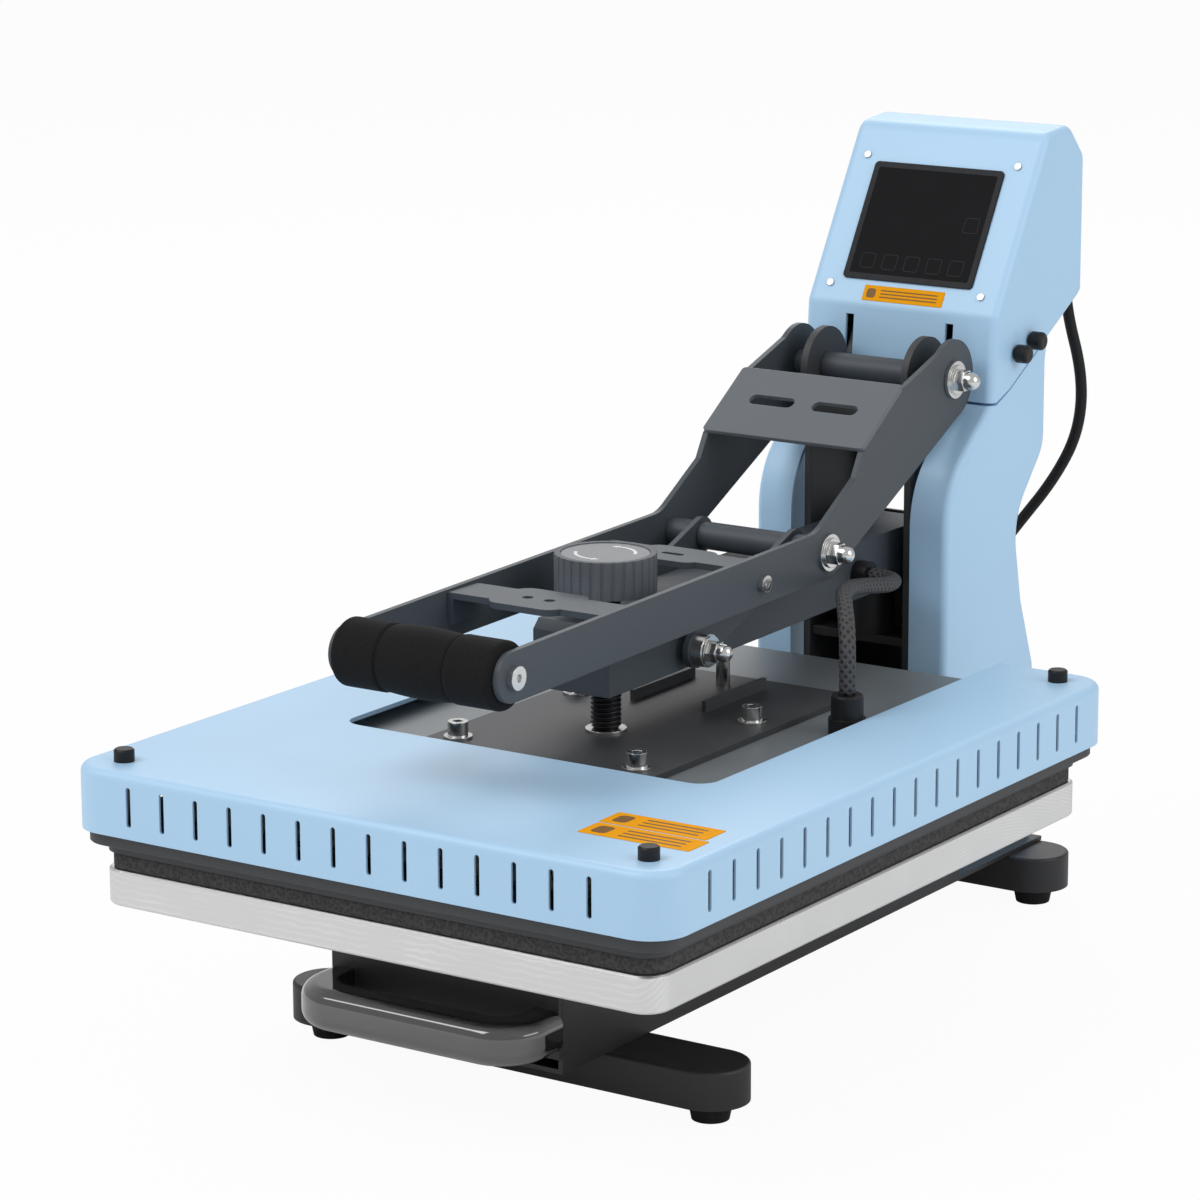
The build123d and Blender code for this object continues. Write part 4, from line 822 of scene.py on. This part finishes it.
def on_face(x, along, lift):
    """A point on the leaning face: x across, a distance up from the crease and a height off it."""
    return face_origin + MM * (x * face_right + along * face_up + lift * face_out)


def face_plate(name, outlines, x, along, lift, thickness, material, slot):
    """A thin plate on the face that rides with the base."""
    made = plate(name, outlines, on_face(x, along, lift), face_right, face_up, thickness, material)
    dress(made, "base", slot)


print("the face leans back by", round(90 - face_slope * 180 / pi, 1), "degrees")

# %% [markdown]
# The panel is a pane of dark glass. Its border is a shade paler, and faint round squares mark the
# touch keys: five in a row at the bottom and one to the right. Each is a ring between two outlines.

# %% Screen border and touch keys
screen_along = 60.5
screen_half = (50.0, 43.0)
border_width = 4.2
print_lift = 1.2 + 0.02
border_outer = round_outline(screen_half[0] * MM, screen_half[1] * MM, 0.003)
border_inner = round_outline((screen_half[0] - border_width) * MM, (screen_half[1] - border_width) * MM,
                             0.001)
face_plate("screen_border", [border_outer, border_inner], 0, screen_along, print_lift, 0.00008,
           glass_border, "panel_glass")

key_half, key_line = 5.6, 0.5
key_spacing = 17.0
key_row = -screen_half[1] + 13.5
keys = [(key_spacing * (column - 2), key_row) for column in range(5)] + [(36.5, 2.0)]
key_outer = round_outline(key_half * MM, key_half * MM, 0.0018, 6)
key_inner = round_outline((key_half - key_line) * MM, (key_half - key_line) * MM, 0.0013, 6)
for number, (x, along) in enumerate(keys):
    face_plate(f"touch_key_{number}", [key_outer, key_inner], x, screen_along + along, print_lift,
               0.00006, key_print, "panel_glass")
print("touch keys:", len(keys))

# %% [markdown]
# A narrow orange sticker sits under the glass. It is plain too, with a block and three bars.

# %% Sticker on the face
face_sticker_along = 8.3
face_plate("face_sticker", [round_outline(0.031, 0.0056, 0.001)], 0, face_sticker_along, 0.03, 0.00015,
           sticker, "sky_paint")
face_bars = [(-25.0, 0.0, 3.4, 3.4)] + [(4.0, 2.4 - 2.4 * row, 22.0, 0.45) for row in range(3)]
for number, (x, along, half_x, half_y) in enumerate(face_bars):
    outline = round_outline(half_x * MM, half_y * MM, half_y * MM * 0.6, 5)
    face_plate(f"face_sticker_mark_{number}", [outline], x, face_sticker_along + along, 0.19,
               print_thick, sticker_dark, "sky_paint")
print("marks on the face's sticker:", len(face_bars))

# %% [markdown]
# Two curved arrows on the knob's disc show which way it turns. Each is a band between two arcs
# that ends in a triangle, and the second is the first one half a turn further.


# %% Arrows on the knob
def arrow_outline(radius, start_angle, end_angle, width):
    """A band between two arcs, half a width either side of the radius, and a wider pointed tip."""
    sweep = np.linspace(start_angle, end_angle, 24)
    outer = np.stack([(radius + width / 2) * np.cos(sweep), (radius + width / 2) * np.sin(sweep)], axis=-1)
    inner = np.stack([(radius - width / 2) * np.cos(sweep), (radius - width / 2) * np.sin(sweep)], axis=-1)
    tip_angle = end_angle + 2.2 * width / radius
    head_outer, head_inner = radius + width * 1.2, radius - width * 1.2
    head = np.array([[head_outer * cos(end_angle), head_outer * sin(end_angle)],
                     [radius * cos(tip_angle), radius * sin(tip_angle)],
                     [head_inner * cos(end_angle), head_inner * sin(end_angle)]])
    return np.concatenate([outer, head, inner[::-1]])


disc_top = high("knob_disc")
knob_middle = (low("knob_disc") + disc_top) / 2
arrow_radius, arrow_width, arrow_sweep, arrow_start = 0.0185, 0.0022, 1.35, 0.35
for number, turn_start in enumerate((arrow_start, arrow_start + pi)):
    outline = arrow_outline(arrow_radius, turn_start, turn_start + arrow_sweep, arrow_width)
    arrow = plate(f"knob_arrow_{number}", [outline], (knob_middle[0], knob_middle[1], disc_top[2] + 0.00002),
                  (1, 0, 0), (0, 1, 0), 0.0001, arrow_print)
    dress(arrow, "pressure_control", "disc_plastic")
print("the disc's top is at z =", round(float(disc_top[2]), 4))

# %% [markdown]
# The press stands on a plain pale floor. A floor lit until it is white would need far too much
# light on the object, so the floor is mostly white to the camera alone, and a pale surface to the
# light. The small share that is left shows the soft shadow.


# %% Floor
def stage_white(name, white_share=0.95):
    """Mostly plain white as the camera sees it, and a plain pale surface for the light."""
    material, shader = start(name, (0.86, 0.86, 0.86), 0.9)
    path = node(material, "ShaderNodeLightPath")
    share = combine(material, "MULTIPLY", path.outputs["Is Camera Ray"], white_share)
    white = node(material, "ShaderNodeEmission", Color=(1.0, 1.0, 1.0, 1.0), Strength=1.0)
    mixed = node(material, "ShaderNodeMixShader", Fac=share)
    feed(material, mixed.inputs[1], shader.outputs["BSDF"])
    feed(material, mixed.inputs[2], white.outputs["Emission"])
    feed(material, material.node_tree.nodes["Material Output"].inputs["Surface"], mixed.outputs["Shader"])
    return material


reach = 12.0
under_feet = -0.0005
floor_mesh = bpy.data.meshes.new("floor")
floor_mesh.from_pydata([(-reach, -reach, under_feet), (reach, -reach, under_feet),
                        (reach, reach, under_feet), (-reach, reach, under_feet)], [], [(0, 1, 2, 3)])
floor_mesh.materials.append(stage_white("floor_white"))
floor = bpy.data.objects.new("floor", floor_mesh)
bpy.context.collection.objects.link(floor)
print("floor, metres across:", 2 * reach)

# %% [markdown]
# The world does the same: it is white to the camera and a softer grey light to the object, from
# all sides. Three large square lamps add some direction: from the front left, the right, and behind.

# %% Light
world = bpy.data.worlds.new("studio")
bpy.context.scene.world = world
world.use_nodes = True
world_tree = world.node_tree
background = world_tree.nodes["Background"]
seen = world_tree.nodes.new("ShaderNodeLightPath")
white = world_tree.nodes.new("ShaderNodeBackground")
white.inputs["Strength"].default_value = 1.0
background.inputs["Color"].default_value = (1.0, 1.0, 1.0, 1.0)
background.inputs["Strength"].default_value = 0.54
blend = world_tree.nodes.new("ShaderNodeMixShader")
world_tree.links.new(seen.outputs["Is Camera Ray"], blend.inputs["Fac"])
world_tree.links.new(background.outputs["Background"], blend.inputs[1])
world_tree.links.new(white.outputs["Background"], blend.inputs[2])
world_tree.links.new(blend.outputs["Shader"], world_tree.nodes["World Output"].inputs["Surface"])


def soft_light(name, position, target, size, power):
    """A square lamp that faces a point."""
    data = bpy.data.lights.new(name, "AREA")
    data.size = size
    data.energy = power
    lamp = bpy.data.objects.new(name, data)
    lamp.location = position
    lamp.rotation_mode = "QUATERNION"
    lamp.rotation_quaternion = (Vector(position) - Vector(target)).to_track_quat("Z", "Y")
    bpy.context.collection.objects.link(lamp)


soft_light("key_light", (-1.2, -2.2, 3.2), (0, 0, 0.2), 2.4, 60.0)
soft_light("side_light", (3.0, 0.2, 1.8), (0, 0, 0.2), 2.2, 29.0)
soft_light("rim_light", (-1.6, 2.6, 2.4), (0, 0.2, 0.3), 1.8, 26.0)
print("lamps:", len(bpy.data.lights))

# %% [markdown]
# The last cell keeps the colours as written and hands the scene over.

# %% Finish
bpy.context.scene.view_settings.view_transform = "Standard"
bpy.context.view_layer.update()
